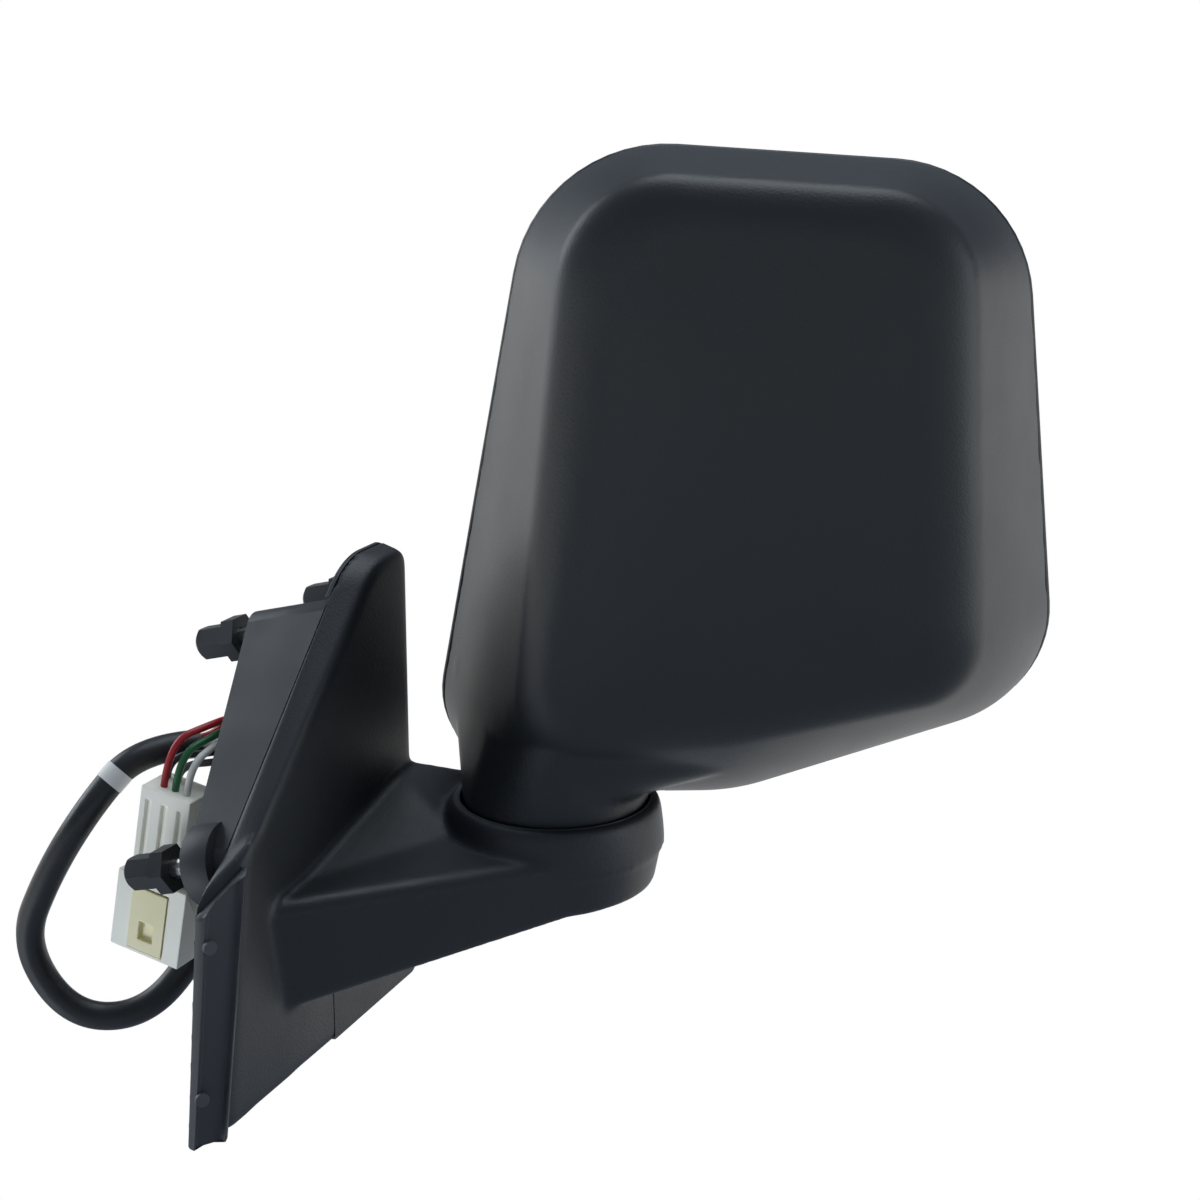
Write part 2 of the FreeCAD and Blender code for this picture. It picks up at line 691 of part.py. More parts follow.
def build_pivot():
    """Hollow post, detent ring, bush, disc springs, washer and retainer, all about the fold axis."""
    low = "-(spine_drop + spine_t)"
    post = turned("pivot_post", [
        ("post_bore", low + " - post_flange_t"), ("post_flange_r", low + " - post_flange_t"),
        ("post_flange_r", low), ("post_r", low), ("post_r", "post_top"), ("post_bore", "post_top")])
    node(post, UPRIGHT)
    ring = ring_of("detent_ring", "post_r + 1", "seat_r", "-seat_drop", "-seat_drop + ring_t")
    notch = new_sketch(ring, "XZ_Plane", "-30")
    outline(notch, [("-2", "-seat_drop + ring_t + 0.1"), ("0", "-seat_drop + ring_t - 1"),
                    ("2", "-seat_drop + ring_t + 0.1")])
    cut = pocket(ring, notch)
    cut.Midplane = True
    node(ring, UPRIGHT)
    seal = ring_of("pivot_seal", "neck_r + 0.5", "well_r - fit_gap", "-well_depth + 0.2", "-0.4")
    node(seal, UPRIGHT)
    bush = ring_of("pivot_bush", "post_r + fit_gap", "post_r + bush_wall",
                   "-seat_drop + ring_t + 0.2", "barrel_top")
    node(bush, HEAD)
    discs = []
    inner, outer, thick, rise = size("post_r") + 0.3, size("disc_r"), size("disc_t"), size("disc_rise")
    level = size("barrel_top")
    for step in range(3):
        low, high = (0.0, rise) if step % 2 == 0 else (rise, 0.0)
        base = level + step * (thick + rise)
        corners = [V(inner, 0, base + high), V(outer, 0, base + low), V(outer, 0, base + low + thick),
                   V(inner, 0, base + high + thick)]
        discs.append(Part.Face(Part.makePolygon(corners + corners[:1])).revolve(V(0, 0, 0), V(0, 0, 1), 360))
    feature_node("disc_springs", Part.makeCompound(discs), HEAD)
    top = "barrel_top + 3 * (disc_t + disc_rise) + moving_gap"
    node(ring_of("spring_washer", "post_r + fit_gap", "post_r + 7", top, top + " + washer_t"), UPRIGHT)
    node(ring_of("post_retainer", "post_r + 0.02", "post_r + 4", top + " + washer_t + fit_gap",
                 top + " + washer_t + fit_gap + retainer_t"), UPRIGHT)


# ---------------------------------------------------------------- head shell

MOUTH = [(-44.0, 4.0), (52.0, -1.5), (149.0, 31.0), (133.0, 184.0), (-7.0, 192.0)]
MOUTH_R = [22.0, 60.0, 32.0, 28.0, 30.0]
NOSE = [(-5.0, 30.0), (55.0, 37.0), (119.0, 48.0), (113.0, 182.0), (10.0, 188.0)]
NOSE_R = [13.0, 60.0, 14.0, 16.0, 16.0]


def head_wire(points, radii, y):
    """An outline of (x, z) points standing in a plane of constant y, in the head's own frame."""
    return rounded_wire([V(x, y, z) for x, z in points], radii)


def blended(share):
    """The head's outline and corner radii part of the way from the nose to the mouth."""
    points = [(n[0] + (m[0] - n[0]) * share, n[1] + (m[1] - n[1]) * share) for n, m in zip(NOSE, MOUTH)]
    radii = [n + (m - n) * share for n, m in zip(NOSE_R, MOUTH_R)]
    return points, radii


def head_solid(margin, front, rear):
    """The flaring trapezoid body of the head, with its nose edge rounded in flat steps."""
    span = size("glass_side_y") - size("front_y")
    crease = size("crease_r") - margin
    steps = [(rear, margin)]
    for angle in (90, 60, 30, 0):
        turn = math.radians(angle)
        steps.append((front + crease * (1 - math.cos(turn)), margin + crease * (1 - math.sin(turn))))
    wires = []
    for y, inwards in steps:
        points, radii = blended((y - size("front_y")) / span)
        wires.append(head_wire(inset(points, inwards), [max(radius - inwards, 2.0) for radius in radii], y))
    return loft(wires)


def neck_solid(margin):
    """Round neck that spreads upwards and outboard into the underside of the head."""
    radius = size("neck_r") - margin
    low = -size("neck_skirt") - margin
    straight = Part.makeCylinder(radius, 3.0 - low, V(0, 0, low))
    root = Part.Wire(Part.makeCircle(radius, V(0, 0, 3.0)))
    crown = Part.Wire(Part.makeCircle(radius - 7.0, V(8.0, 2.0, 25.0)))
    return straight.fuse(loft([root, crown]))


def build_housing():
    wall = size("shell_wall")
    front, rear = size("front_y"), size("glass_side_y")
    outer = head_solid(0, front, rear)
    inner = head_solid(wall, front + wall, rear + 6.0)
    skirt = neck_solid(0).cut(head_solid(wall * 0.5, front + wall * 0.5, rear + 1.0))
    shell = outer.cut(inner).fuse(skirt).cut(neck_solid(wall))
    shell = shell.cut(half_space(V(-60, rear, -20), V(60, rear + 20, 60)))
    for x, z in HOUSING_SCREWS:
        depth = FRAME_Y - size("frame_t") - front - 1.0 - FIT
        shell = shell.fuse(Part.makeCylinder(4.5, depth, V(x, front + 1.0, z), V(0, 1, 0)))
        core = V(x, FRAME_Y - size("frame_t") - 11.0, z)
        shell = shell.cut(Part.makeCylinder(1.65, 12.0, core, V(0, 1, 0)))
    feature_node("head_housing", shell.removeSplitter(), HEAD)


FRAME_Y = size("frame_y")
HOUSING_SCREWS = [(12.0, 58.0), (102.0, 62.0), (100.0, 150.0), (14.0, 150.0)]
CASE_SCREWS = [(22.0, 70.0), (90.0, 66.0), (56.0, 134.0)]
DRIVE_X, DRIVE_Z = size("drive_x"), size("drive_z")
PAN_X, TILT_Z = DRIVE_X + size("screw_offset"), DRIVE_Z - size("screw_offset")


def build_frame():
    """Die-cast head frame: floor disc and barrel on the post, column and plate for the drive."""
    low = -size("seat_drop") + size("ring_t") + GAP
    thick = size("frame_t")
    back = FRAME_Y - thick
    bore = size("post_r") + size("bush_wall") + FIT
    clear = size("neck_r") - size("shell_wall") - 0.4
    floor = Part.makeCylinder(clear, 2.0 - low, V(0, 0, low))
    barrel = Part.makeCylinder(size("seat_r") - 2.0, size("barrel_top") - low, V(0, 0, low))
    column = Part.makeBox(5.5, 10.0, 44.0, V(17.0, -8.0, 0.0))
    bridge = Part.makeBox(5.5, -back + 2.0, 14.0, V(17.0, back, 34.0))
    plate_points = [(6.0, 34.0), (30.0, 36.0), (104.0, 52.0), (108.0, 158.0), (6.0, 158.0)]
    plate = Part.Face(head_wire(plate_points, [3.0, 8.0, 8.0, 8.0, 8.0], back)).extrude(V(0, thick, 0))
    for x, z, wide, high in ((60.0, 145.0, 60.0, 10.0), (58.0, 56.0, 44.0, 8.0)):
        plate = plate.cut(Part.makeBox(wide, 20, high, V(x - wide / 2, back - 5, z - high / 2)))
    solid = floor.fuse(barrel).fuse(column).fuse(bridge).fuse(plate)
    solid = solid.cut(Part.makeCylinder(bore, 30, V(0, 0, low - 5)))
    for x, z in HOUSING_SCREWS:
        solid = solid.cut(Part.makeCylinder(2.2, 20, V(x, back - 5, z), V(0, 1, 0)))
    for x, z in CASE_SCREWS:
        solid = solid.cut(Part.makeCylinder(1.65, 20, V(x, back - 5, z), V(0, 1, 0)))
    feature_node("head_frame", solid.removeSplitter(), HEAD)
    screws = []
    for x, z in HOUSING_SCREWS:
        head = Part.makeCylinder(3.8, 2.4, V(x, FRAME_Y, z), V(0, 1, 0))
        screws.append(head.fuse(Part.makeCylinder(1.6, 12.0 + 2.4, V(x, FRAME_Y - 12.0, z), V(0, 1, 0))))
    feature_node("housing_screws", Part.makeCompound(screws), HEAD)


# ---------------------------------------------------------------- glass drive

def case_wire(margin, y):
    points = [(DRIVE_X - 36.0, DRIVE_Z - 43.0), (DRIVE_X + 43.0, DRIVE_Z - 43.0),
              (DRIVE_X + 43.0, DRIVE_Z + 33.0), (DRIVE_X - 36.0, DRIVE_Z + 33.0)]
    points = inset(points, margin)
    return head_wire(points, [14.0 - margin] * 4, y)


def along_y(radius, x, z, y0, y1):
    return Part.makeCylinder(radius, y1 - y0, V(x, y0, z), V(0, 1, 0))


def build_case():
    back, split, front = size("case_back"), size("case_split"), size("case_front")
    wall = size("case_wall")
    posts = [along_y(4.2, x, z, back, split) for x, z in CASE_SCREWS]
    case = Part.Face(case_wire(0, back)).extrude(V(0, split - back, 0))
    case = case.cut(Part.Face(case_wire(wall, back + wall)).extrude(V(0, 40, 0)))
    for post in posts:
        case = case.fuse(post)
    lid = Part.Face(case_wire(0, split + FIT)).extrude(V(0, wall, 0))
    reach = size("gimbal_y") + 1.5 - split
    stem = Part.makeBox(7.0, reach, 7.0, V(DRIVE_X - 3.5, split + 1.0, DRIVE_Z - 3.5))
    lid = lid.fuse(stem).fuse(along_y(6.0, PAN_X, DRIVE_Z, split + FIT, front)).fuse(
        along_y(6.0, DRIVE_X, TILT_Z, split + FIT, front))
    for x, z in ((PAN_X, DRIVE_Z), (DRIVE_X, TILT_Z)):
        lid = lid.cut(along_y(size("rod_r") + GAP, x, z, split - 5, front + 5))
    lid = lid.cut(Part.makeCylinder(size("pin_r") + FIT, 30, V(DRIVE_X, size("gimbal_y"), DRIVE_Z - 15)))
    for x, z in CASE_SCREWS:
        case = case.cut(along_y(1.9, x, z, back - 5, split + 5))
        lid = lid.cut(along_y(1.9, x, z, back - 5, front + 5))
    feature_node("actuator_case", case.removeSplitter(), HEAD)
    feature_node("actuator_cover", lid.removeSplitter(), HEAD)
    top = split + FIT + wall
    screws = []
    for x, z in CASE_SCREWS:
        screws.append(along_y(1.6, x, z, FRAME_Y - 3.5, top).fuse(along_y(3.4, x, z, top, top + 2.0)))
    feature_node("actuator_screws", Part.makeCompound(screws), HEAD)


def build_motors():
    """Each motor is a can with a shaft; its worm is a separate turning piece on that shaft."""
    plane = size("gear_y")
    away = size("gear_r") + size("worm_r") + GAP
    starts = {"pan": (V(PAN_X - away, plane, DRIVE_Z + 9.0), V(0, 0, 1)),
              "tilt": (V(DRIVE_X - 9.0, plane, TILT_Z + away), V(-1, 0, 0))}
    for name, (start, way) in starts.items():
        can = Part.makeCylinder(size("motor_r"), size("motor_len"), start, way)
        nose = Part.makeCylinder(2.5, 1.5, start - way * 1.5, way)
        shaft = Part.makeCylinder(0.75, 15.0, start - way * 15.0, way)
        feature_node(name + "_motor", can.fuse(nose).fuse(shaft), HEAD)
        body = turned(name + "_worm", [
            ("0.8", "0"), ("worm_r", "0"), ("worm_r", "1.5"), ("worm_r - 0.9", "2.5"), ("worm_r", "3.5"),
            ("worm_r", "4.5"), ("worm_r - 0.9", "5.5"), ("worm_r", "6.5"), ("worm_r", "7.5"),
            ("worm_r - 0.9", "8.5"), ("worm_r", "9.5"), ("worm_r", "11"), ("0.8", "11")])
        base = start - way * 13.5
        node(body, HEAD.multiply(FreeCAD.Placement(base, FreeCAD.Rotation(V(0, 0, 1), way))))


def gear_wire(teeth, outer, depth):
    """A toothed outline in the XY plane: trapezoid teeth made by one repeated step."""
    points = []
    for tooth in range(teeth):
        for part, radius in ((0.0, outer - depth), (0.3, outer - depth), (0.42, outer), (0.78, outer)):
            angle = 2 * math.pi * (tooth + part) / teeth
            points.append(V(radius * math.cos(angle), radius * math.sin(angle), 0))
    return Part.makePolygon(points + points[:1])


def build_screw_drive():
    """Toothed nuts and the ball-ended screws that they push and pull."""
    gear = Part.Face(gear_wire(int(size("gear_teeth")), size("gear_r"), 1.6)).extrude(V(0, 0, size("gear_w")))
    gear = gear.fuse(Part.makeCylinder(5.0, size("gear_w") + 1.5))
    gear = gear.cut(Part.makeCylinder(size("rod_r") + FIT, 30, V(0, 0, -5)))
    for name, x, z in (("pan", PAN_X, DRIVE_Z), ("tilt", DRIVE_X, TILT_Z)):
        spot = V(x, size("gear_y") - size("gear_w") / 2, z)
        turn = FreeCAD.Rotation(V(1, 0, 0), -90)
        feature_node(name + "_gear", gear.copy(), HEAD.multiply(FreeCAD.Placement(spot, turn)))
        body = new_body(name + "_jackscrew")
        sketch = new_sketch(body, "XY_Plane")
        circle(sketch, "0", "0", "rod_r")
        pad(body, sketch, "gimbal_y - rod_tail")
        ball = body.newObject("PartDesign::AdditiveSphere", name + "_ball")
        bind(ball, "Radius", "ball_r")
        bind(ball, "AttachmentOffset.Base.z", "gimbal_y - rod_tail")
        plane = [item for item in body.Origin.OriginFeatures if item.Role == "XY_Plane"][0]
        ball.AttachmentSupport = [(plane, "")]
        ball.MapMode = "FlatFace"
        node(body, HEAD.multiply(FreeCAD.Placement(V(x, size("rod_tail"), z), turn)))


GLASS_MARGINS = [15.0, 15.0, 12.0, 7.0, 15.0]


def build_glass():
    centre_y = size("gimbal_y")
    pin, wide = size("pin_r"), size("ring_w")
    ring = along_y(size("ring_out"), DRIVE_X, DRIVE_Z, centre_y - wide / 2, centre_y + wide / 2)
    ring = ring.cut(along_y(size("ring_in"), DRIVE_X, DRIVE_Z, -20, 40))
    for sign in (-1, 1):
        ring = ring.fuse(rod(pin, V(DRIVE_X, centre_y, DRIVE_Z + sign * 1.0),
                             V(DRIVE_X, centre_y, DRIVE_Z + sign * (size("ring_out") - 1.0))))
        ring = ring.fuse(rod(pin, V(DRIVE_X + sign * (size("ring_out") - 1.0), centre_y, DRIVE_Z),
                             V(DRIVE_X + sign * (size("ring_out") + 4.0), centre_y, DRIVE_Z)))
    feature_node("gimbal_ring", ring.removeSplitter(), HEAD)

    points = inset(MOUTH, GLASS_MARGINS)
    radii = [max(radius - 10.0, 8.0) for radius in MOUTH_R]
    hold_y = size("holder_y")
    plate = Part.Face(head_wire(inset(points, 3.0), radii, hold_y)).extrude(V(0, size("holder_t"), 0))
    for sign in (-1, 1):
        lug = Part.makeBox(3.6, hold_y + 1 - (centre_y - 3.0), 7.0,
                           V(DRIVE_X + sign * (size("ring_out") + 2.3) - 1.8, centre_y - 3.0, DRIVE_Z - 3.5))
        plate = plate.fuse(lug)
    plate = plate.cut(rod(pin + FIT, V(DRIVE_X - 20, centre_y, DRIVE_Z), V(DRIVE_X + 20, centre_y, DRIVE_Z)))
    socket = size("ball_r") + GAP
    for x, z in ((PAN_X, DRIVE_Z), (DRIVE_X, TILT_Z)):
        plate = plate.fuse(along_y(socket + 1.8, x, z, centre_y - 2.5, hold_y + 1))
        plate = plate.cut(along_y(socket, x, z, centre_y - 10.0, hold_y))
    feature_node("glass_holder", plate.removeSplitter(), HEAD)

    level = hold_y + size("holder_t")
    pad_t = size("pad_t")
    sheet_pad = Part.Face(head_wire(inset(points, 3.5), radii, level)).extrude(V(0, pad_t, 0))
    feature_node("glass_pad", sheet_pad, HEAD)
    blank = Part.Face(head_wire(points, radii, level + pad_t)).extrude(V(0, size("glass_t"), 0))
    feature_node("mirror_glass", blank, HEAD)


# ---------------------------------------------------------------- wiring

def build_leads():
    """Wires that run inside: from the grommet through the arm and post, and on to the drive."""
    u, v = GROMMET
    start = from_mount(u, v, 5.4)
    low = PIVOT.z - size("spine_drop") - size("spine_t") - 4.0
    route = [start, from_mount(u, v, 11.0), V(17.0, -8.0, -22.0), V(26.0, -12.0, -37.0), V(44.0, -1.0, -41.5),
             V(60.0, 30.0, low), V(PIVOT.x, PIVOT.y, low), V(PIVOT.x, PIVOT.y, low + 12.0),
             V(PIVOT.x + 0.3, PIVOT.y, PIVOT.z + size("post_top"))]
    feature_node("base_lead", tube("base_lead", route, size("lead_d")))
    rise = size("post_top") + 0.3
    side = DRIVE_X - 36.0 - 1.2
    route = [V(0.3, 0, rise), V(0.3, -1.5, rise + 9.0), V(1.0, -8.0, rise + 26.0), V(2.0, -6.5, rise + 44.0),
             V(5.0, -4.0, rise + 56.0), V(side, -4.0, rise + 60.0)]
    feature_node("head_lead", tube("head_lead", route, size("lead_d")), HEAD)


# ---------------------------------------------------------------- harness

SLEEVE_ROUTE = [(-17.0, 5.0, -40.0), (-20.0, -4.0, -64.0), (-31.0, -18.0, -81.0), (-50.0, -29.0, -80.0),
                (-63.0, -33.0, -57.0), (-52.0, -32.0, -33.0), (-40.0, -26.0, -12.0), (-31.0, -13.0, 3.0),
                (-20.0, 1.0, 1.5)]
CONNECTOR = FreeCAD.Placement(V(-15.5, -16.0, -5.7), FreeCAD.Rotation(V(0, 1, 0), 11.0))
# colour, place on the connector's top (across, front to back), height of its loop, angle round the sleeve
WIRES = [("grey", -2.4, 3.0, 0.4, 306.0), ("black", -6.2, 3.0, 3.0, 234.0), ("white", 4.6, -2.6, 5.6, 18.0),
         ("green", 0.6, -2.6, 8.2, 162.0), ("red", -3.4, -2.6, 11.5, 90.0)]


def sleeve_points():
    u, v = GROMMET
    return [from_mount(u, v, 5.4), from_mount(u, v, -16.0)] + [V(*point) for point in SLEEVE_ROUTE]


def wire_points(across, deep, loop, angle):
    """One wire's route: out of the sleeve, round in a loop, and down into the connector."""
    points = sleeve_points()
    way = (points[-1] - points[-2]).normalize()
    side = way.cross(V(0, 0, 1)).normalize()
    rise = side.cross(way)
    turn = math.radians(angle)
    start = points[-1] + (side * math.cos(turn) + rise * math.sin(turn)) * 2.05
    spread = (loop - 5.0) * 0.25
    top = CONNECTOR.multVec(V(across, deep, 5.0 + loop * 0.8))
    bend = V(-9.5, 4.0 - 3.4 * math.cos(turn), loop - 1.0)
    lead = 6.0 - 2.2 * math.sin(turn)
    return [start, start + way * lead, bend, V(-8.0 - spread, -7.0, loop), top,
            CONNECTOR.multVec(V(across, deep, 0))]


def build_harness():
    feature_node("harness_sleeve", tube("harness_sleeve", sleeve_points(), size("sleeve_d")))
    for colour, across, deep, loop, angle in WIRES:
        label = "wire_" + colour
        feature_node(label, tube(label, wire_points(across, deep, loop, angle), size("wire_d")))
    upper = Part.makeBox(17.0, 13.0, 28.0, V(-8.5, -6.5, -28.0))
    lower = Part.makeBox(24.0, 16.0, 25.0, V(-12.0, -8.0, -53.0))
    block = upper.fuse(lower)
    block = block.cut(Part.makeBox(20.0, 12.0, 20.0, V(-10.0, -6.0, -53.0)))
    for step in range(3):
        block = block.cut(Part.makeBox(2.0, 1.0, 20.0, V(-6.5 + 5.5 * step, -6.5, -24.0)))
    block = block.cut(Part.makeBox(12.4, 2.0, 21.0, V(-6.2, -8.0, -52.0)))
    feature_node("connector_housing", block.removeSplitter(), CONNECTOR)
    lock = Part.makeBox(12.0, 2.4, 20.0, V(-6.0, -8.5, -51.5))
    lock = lock.cut(Part.makeBox(5.0, 3.0, 6.0, V(-2.5, -10.0, -48.0)))
    feature_node("connector_lock", lock, CONNECTOR)
    pins = [Part.makeBox(1.6, 0.8, 9.0, V(-8.0 + 4.0 * column - 0.8, row - 0.4, -42.0))
            for column in range(5) for row in (-2.6, 2.6)]
    feature_node("connector_terminals", Part.makeCompound(pins), CONNECTOR)


# ---------------------------------------------------------------- building, checking and writing

build_cover()
build_bottom_cover()
build_bracket()
build_studs()
build_caps()
build_seals()
build_grommet()
build_pivot()
build_housing()
build_frame()
build_case()
build_motors()
build_screw_drive()
build_glass()
build_leads()
build_harness()
doc.recompute()

for item in doc.Objects:
    if "Invalid" in item.State or "Error" in item.State:
        raise RuntimeError("%s failed: %s" % (item.Label, item.State))
for item in NODES:
    if item.Shape.isNull() or not item.Shape.isValid() or not item.Shape.Solids:
        raise RuntimeError("%s has no valid solid" % item.Label)

os.makedirs("parts", exist_ok=True)
for item in NODES:
    item.Shape.exportStep("parts/%s.step" % item.Label)
    print("%-20s %2d solids %10.1f mm3" % (item.Label, len(item.Shape.Solids), item.Shape.Volume))
print("%d nodes" % len(NODES))
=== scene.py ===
import json
import logging
import math
from dataclasses import dataclass, field
from enum import Enum

import bmesh
import bpy
import numpy as np
from mathutils import Matrix, Vector

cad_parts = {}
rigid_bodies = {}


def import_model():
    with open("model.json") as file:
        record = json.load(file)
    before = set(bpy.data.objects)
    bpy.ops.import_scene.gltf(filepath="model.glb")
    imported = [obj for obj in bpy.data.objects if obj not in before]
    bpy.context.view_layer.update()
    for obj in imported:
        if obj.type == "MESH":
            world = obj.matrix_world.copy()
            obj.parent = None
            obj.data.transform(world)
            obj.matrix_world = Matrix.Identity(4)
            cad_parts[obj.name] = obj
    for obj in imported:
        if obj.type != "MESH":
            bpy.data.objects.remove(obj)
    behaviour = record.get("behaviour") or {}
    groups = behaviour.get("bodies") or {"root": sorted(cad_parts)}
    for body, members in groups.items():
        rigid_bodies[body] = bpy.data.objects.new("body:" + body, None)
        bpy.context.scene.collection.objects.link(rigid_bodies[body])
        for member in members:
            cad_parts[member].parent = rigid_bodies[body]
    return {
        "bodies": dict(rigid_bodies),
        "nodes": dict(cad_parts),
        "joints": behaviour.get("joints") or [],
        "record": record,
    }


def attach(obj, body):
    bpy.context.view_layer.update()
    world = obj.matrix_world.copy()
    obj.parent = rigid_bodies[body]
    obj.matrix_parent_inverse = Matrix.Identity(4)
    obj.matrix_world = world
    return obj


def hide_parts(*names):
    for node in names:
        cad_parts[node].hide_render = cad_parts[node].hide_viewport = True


# Left-hand car door mirror: a moulded sail and arm on a leaning die-cast base, a folding head with
# a motor-driven glass, three capped studs and a short harness. Sizes are millimetres in the classes
# and metres in the meshes. +X points away from the door, +Y to the rear of the car and +Z up.

LOG = logging.getLogger("door_mirror")
MM = 0.001
PIVOT = np.array([75.0, 48.0, -15.0])
HEAD_YAW = math.radians(20.0)


# ---------------------------------------------------------------- colour and shader nodes

def linear(code: str) -> tuple[float, float, float, float]:
    """Turn an sRGB hex colour into linear light.

    Args:
        code: Six hex digits after a hash.

    Returns:
        Linear red, green, blue and an alpha of one.
    """
    parts = np.array([int(code[i:i + 2], 16) for i in (1, 3, 5)]) / 255.0
    low, high = parts / 12.92, ((parts + 0.055) / 1.055) ** 2.4
    red, green, blue = np.where(parts <= 0.04045, low, high)
    return float(red), float(green), float(blue), 1.0


def add_node(tree: bpy.types.NodeTree, kind: str, inputs: dict | None = None,
             **settings: object) -> bpy.types.Node:
    """Add one node, set its properties, and fill or link its input sockets.

    Args:
        tree: The node tree that gets the node.
        kind: The node type's name.
        inputs: Socket name or number to a value, or to an output socket to link from.
        settings: Properties of the node itself.

    Returns:
        The new node.
    """
    made = tree.nodes.new(kind)
    for name, setting in settings.items():
        setattr(made, name, setting)
    for name, given in (inputs or {}).items():
        if isinstance(given, bpy.types.NodeSocket):
            tree.links.new(given, made.inputs[name])
        else:
            made.inputs[name].default_value = given
    return made


class Texture(Enum):
    """How the surface was made, which sets the pattern of its small relief."""

    MOULD_GRAIN = "spark-eroded mould grain"
    CAST = "die-cast skin"
    DRAWN = "drawn or turned metal"
    RUBBER = "extruded rubber"
    FOAM = "cut foam"
    CLEAN = "polished mould"


@dataclass(frozen=True)
class Finish:
    """One material: what it is, its colours, and its relief at real scale."""

    name: str
    colour: str
    shade: str
    roughness: float
    texture: Texture
    ior: float = 1.5
    metallic: float = 0.0
    grain_mm: float = 0.5
    relief_mm: float = 0.02
    mottle_mm: float = 30.0
    scuff: float = 0.04

    def material(self) -> bpy.types.Material:
        """Build the material, or give back the one built before."""
        found = bpy.data.materials.get(self.name)
        if found:
            return found
        made = bpy.data.materials.new(self.name)
        made.use_nodes = True
        tree = made.node_tree
        tree.nodes.clear()
        place = add_node(tree, "ShaderNodeTexCoord").outputs["Object"]
        if self.texture is Texture.DRAWN:
            place = add_node(tree, "ShaderNodeMapping", {"Vector": place, "Scale": (1.0, 12.0, 1.0)}
                             ).outputs["Vector"]
        broad = add_node(tree, "ShaderNodeTexNoise", {
            "Vector": place, "Scale": 1000.0 / self.mottle_mm, "Detail": 3.0, "Roughness": 0.55})
        fine = self.relief_height(tree, place)
        tint = add_node(tree, "ShaderNodeMixRGB", {
            "Fac": broad.outputs["Fac"], "Color1": linear(self.colour), "Color2": linear(self.shade)})
        rough = add_node(tree, "ShaderNodeMapRange", {
            "Value": broad.outputs["Fac"], "From Min": 0.3, "From Max": 0.7,
            "To Min": max(self.roughness - self.scuff, 0.02), "To Max": self.roughness + self.scuff})
        bump = add_node(tree, "ShaderNodeBump", {
            "Height": fine, "Distance": self.relief_mm * MM, "Strength": 1.0})
        body = add_node(tree, "ShaderNodeBsdfPrincipled", {
            "Base Color": tint.outputs["Color"], "Roughness": rough.outputs["Result"],
            "Normal": bump.outputs["Normal"], "Metallic": self.metallic,
            "IOR": self.ior})
        add_node(tree, "ShaderNodeOutputMaterial", {"Surface": body.outputs["BSDF"]})
        return made

    def relief_height(self, tree: bpy.types.NodeTree, place: bpy.types.NodeSocket
                      ) -> bpy.types.NodeSocket:
        """Add the nodes of the small relief.

        Args:
            tree: The material's node tree.
            place: The coordinates that the pattern follows.

        Returns:
            The height, from about nought to one.
        """
        scale = 1000.0 / self.grain_mm
        noise = add_node(tree, "ShaderNodeTexNoise", {
            "Vector": place, "Scale": scale, "Detail": 2.0, "Roughness": 0.6})
        if self.texture in (Texture.MOULD_GRAIN, Texture.FOAM):
            cells = add_node(tree, "ShaderNodeTexVoronoi", {"Vector": place, "Scale": scale * 0.7})
            both = add_node(tree, "ShaderNodeMath", {
                0: noise.outputs["Fac"], 1: cells.outputs["Distance"]}, operation="ADD")
            return both.outputs[0]
        return noise.outputs["Fac"]


# Grained black ABS: even, fine and soft in its shine, so its creases read as broad pale bands.
GRAINED_ABS = Finish("grained_black_abs", "#16191c", "#1a1e22", 0.46, Texture.MOULD_GRAIN,
                     ior=1.53, grain_mm=0.55, relief_mm=0.035, mottle_mm=60.0)
# The same plastic on the sail and arm, a little duller from handling.
SAIL_ABS = Finish("sail_black_abs", "#15181c", "#1a1d22", 0.5, Texture.MOULD_GRAIN,
                  ior=1.53, grain_mm=0.5, relief_mm=0.035, mottle_mm=40.0, scuff=0.06)
# Powder-coated die-casting: greyer than the plastic, with a faint orange peel.
COATED_CASTING = Finish("coated_zinc_casting", "#232427", "#2a2b2e", 0.56, Texture.CAST,
                        grain_mm=1.6, relief_mm=0.04, mottle_mm=22.0, scuff=0.07)
RAW_CASTING = Finish("raw_aluminium_casting", "#a5a6a8", "#8d8e90", 0.42, Texture.CAST,
                     metallic=1.0, grain_mm=1.2, relief_mm=0.05, mottle_mm=14.0)
ZINC_PLATE = Finish("bright_zinc_plate", "#c3c4c2", "#a9aaa6", 0.26, Texture.DRAWN,
                    metallic=1.0, grain_mm=0.8, relief_mm=0.01, mottle_mm=6.0)
BLACK_ZINC = Finish("black_zinc_screw", "#1e1e20", "#2b2b2d", 0.36, Texture.DRAWN,
                    metallic=0.7, grain_mm=0.6, relief_mm=0.01, mottle_mm=5.0)
PIVOT_STEEL = Finish("turned_pivot_steel", "#8b8c8e", "#77787a", 0.32, Texture.DRAWN,
                     metallic=1.0, grain_mm=0.7, relief_mm=0.015, mottle_mm=9.0)
SPRING_STEEL = Finish("oiled_spring_steel", "#4d4d50", "#5d5c5a", 0.34, Texture.DRAWN,
                      metallic=1.0, grain_mm=0.7, relief_mm=0.015, mottle_mm=8.0)
CAP_NYLON = Finish("black_cap_nylon", "#1b1c1e", "#222326", 0.4, Texture.CLEAN,
                   grain_mm=0.7, relief_mm=0.012, mottle_mm=8.0, scuff=0.08)
EPDM = Finish("black_epdm", "#2a2c31", "#34373d", 0.5, Texture.RUBBER,
              grain_mm=0.9, relief_mm=0.03, mottle_mm=12.0, scuff=0.08)
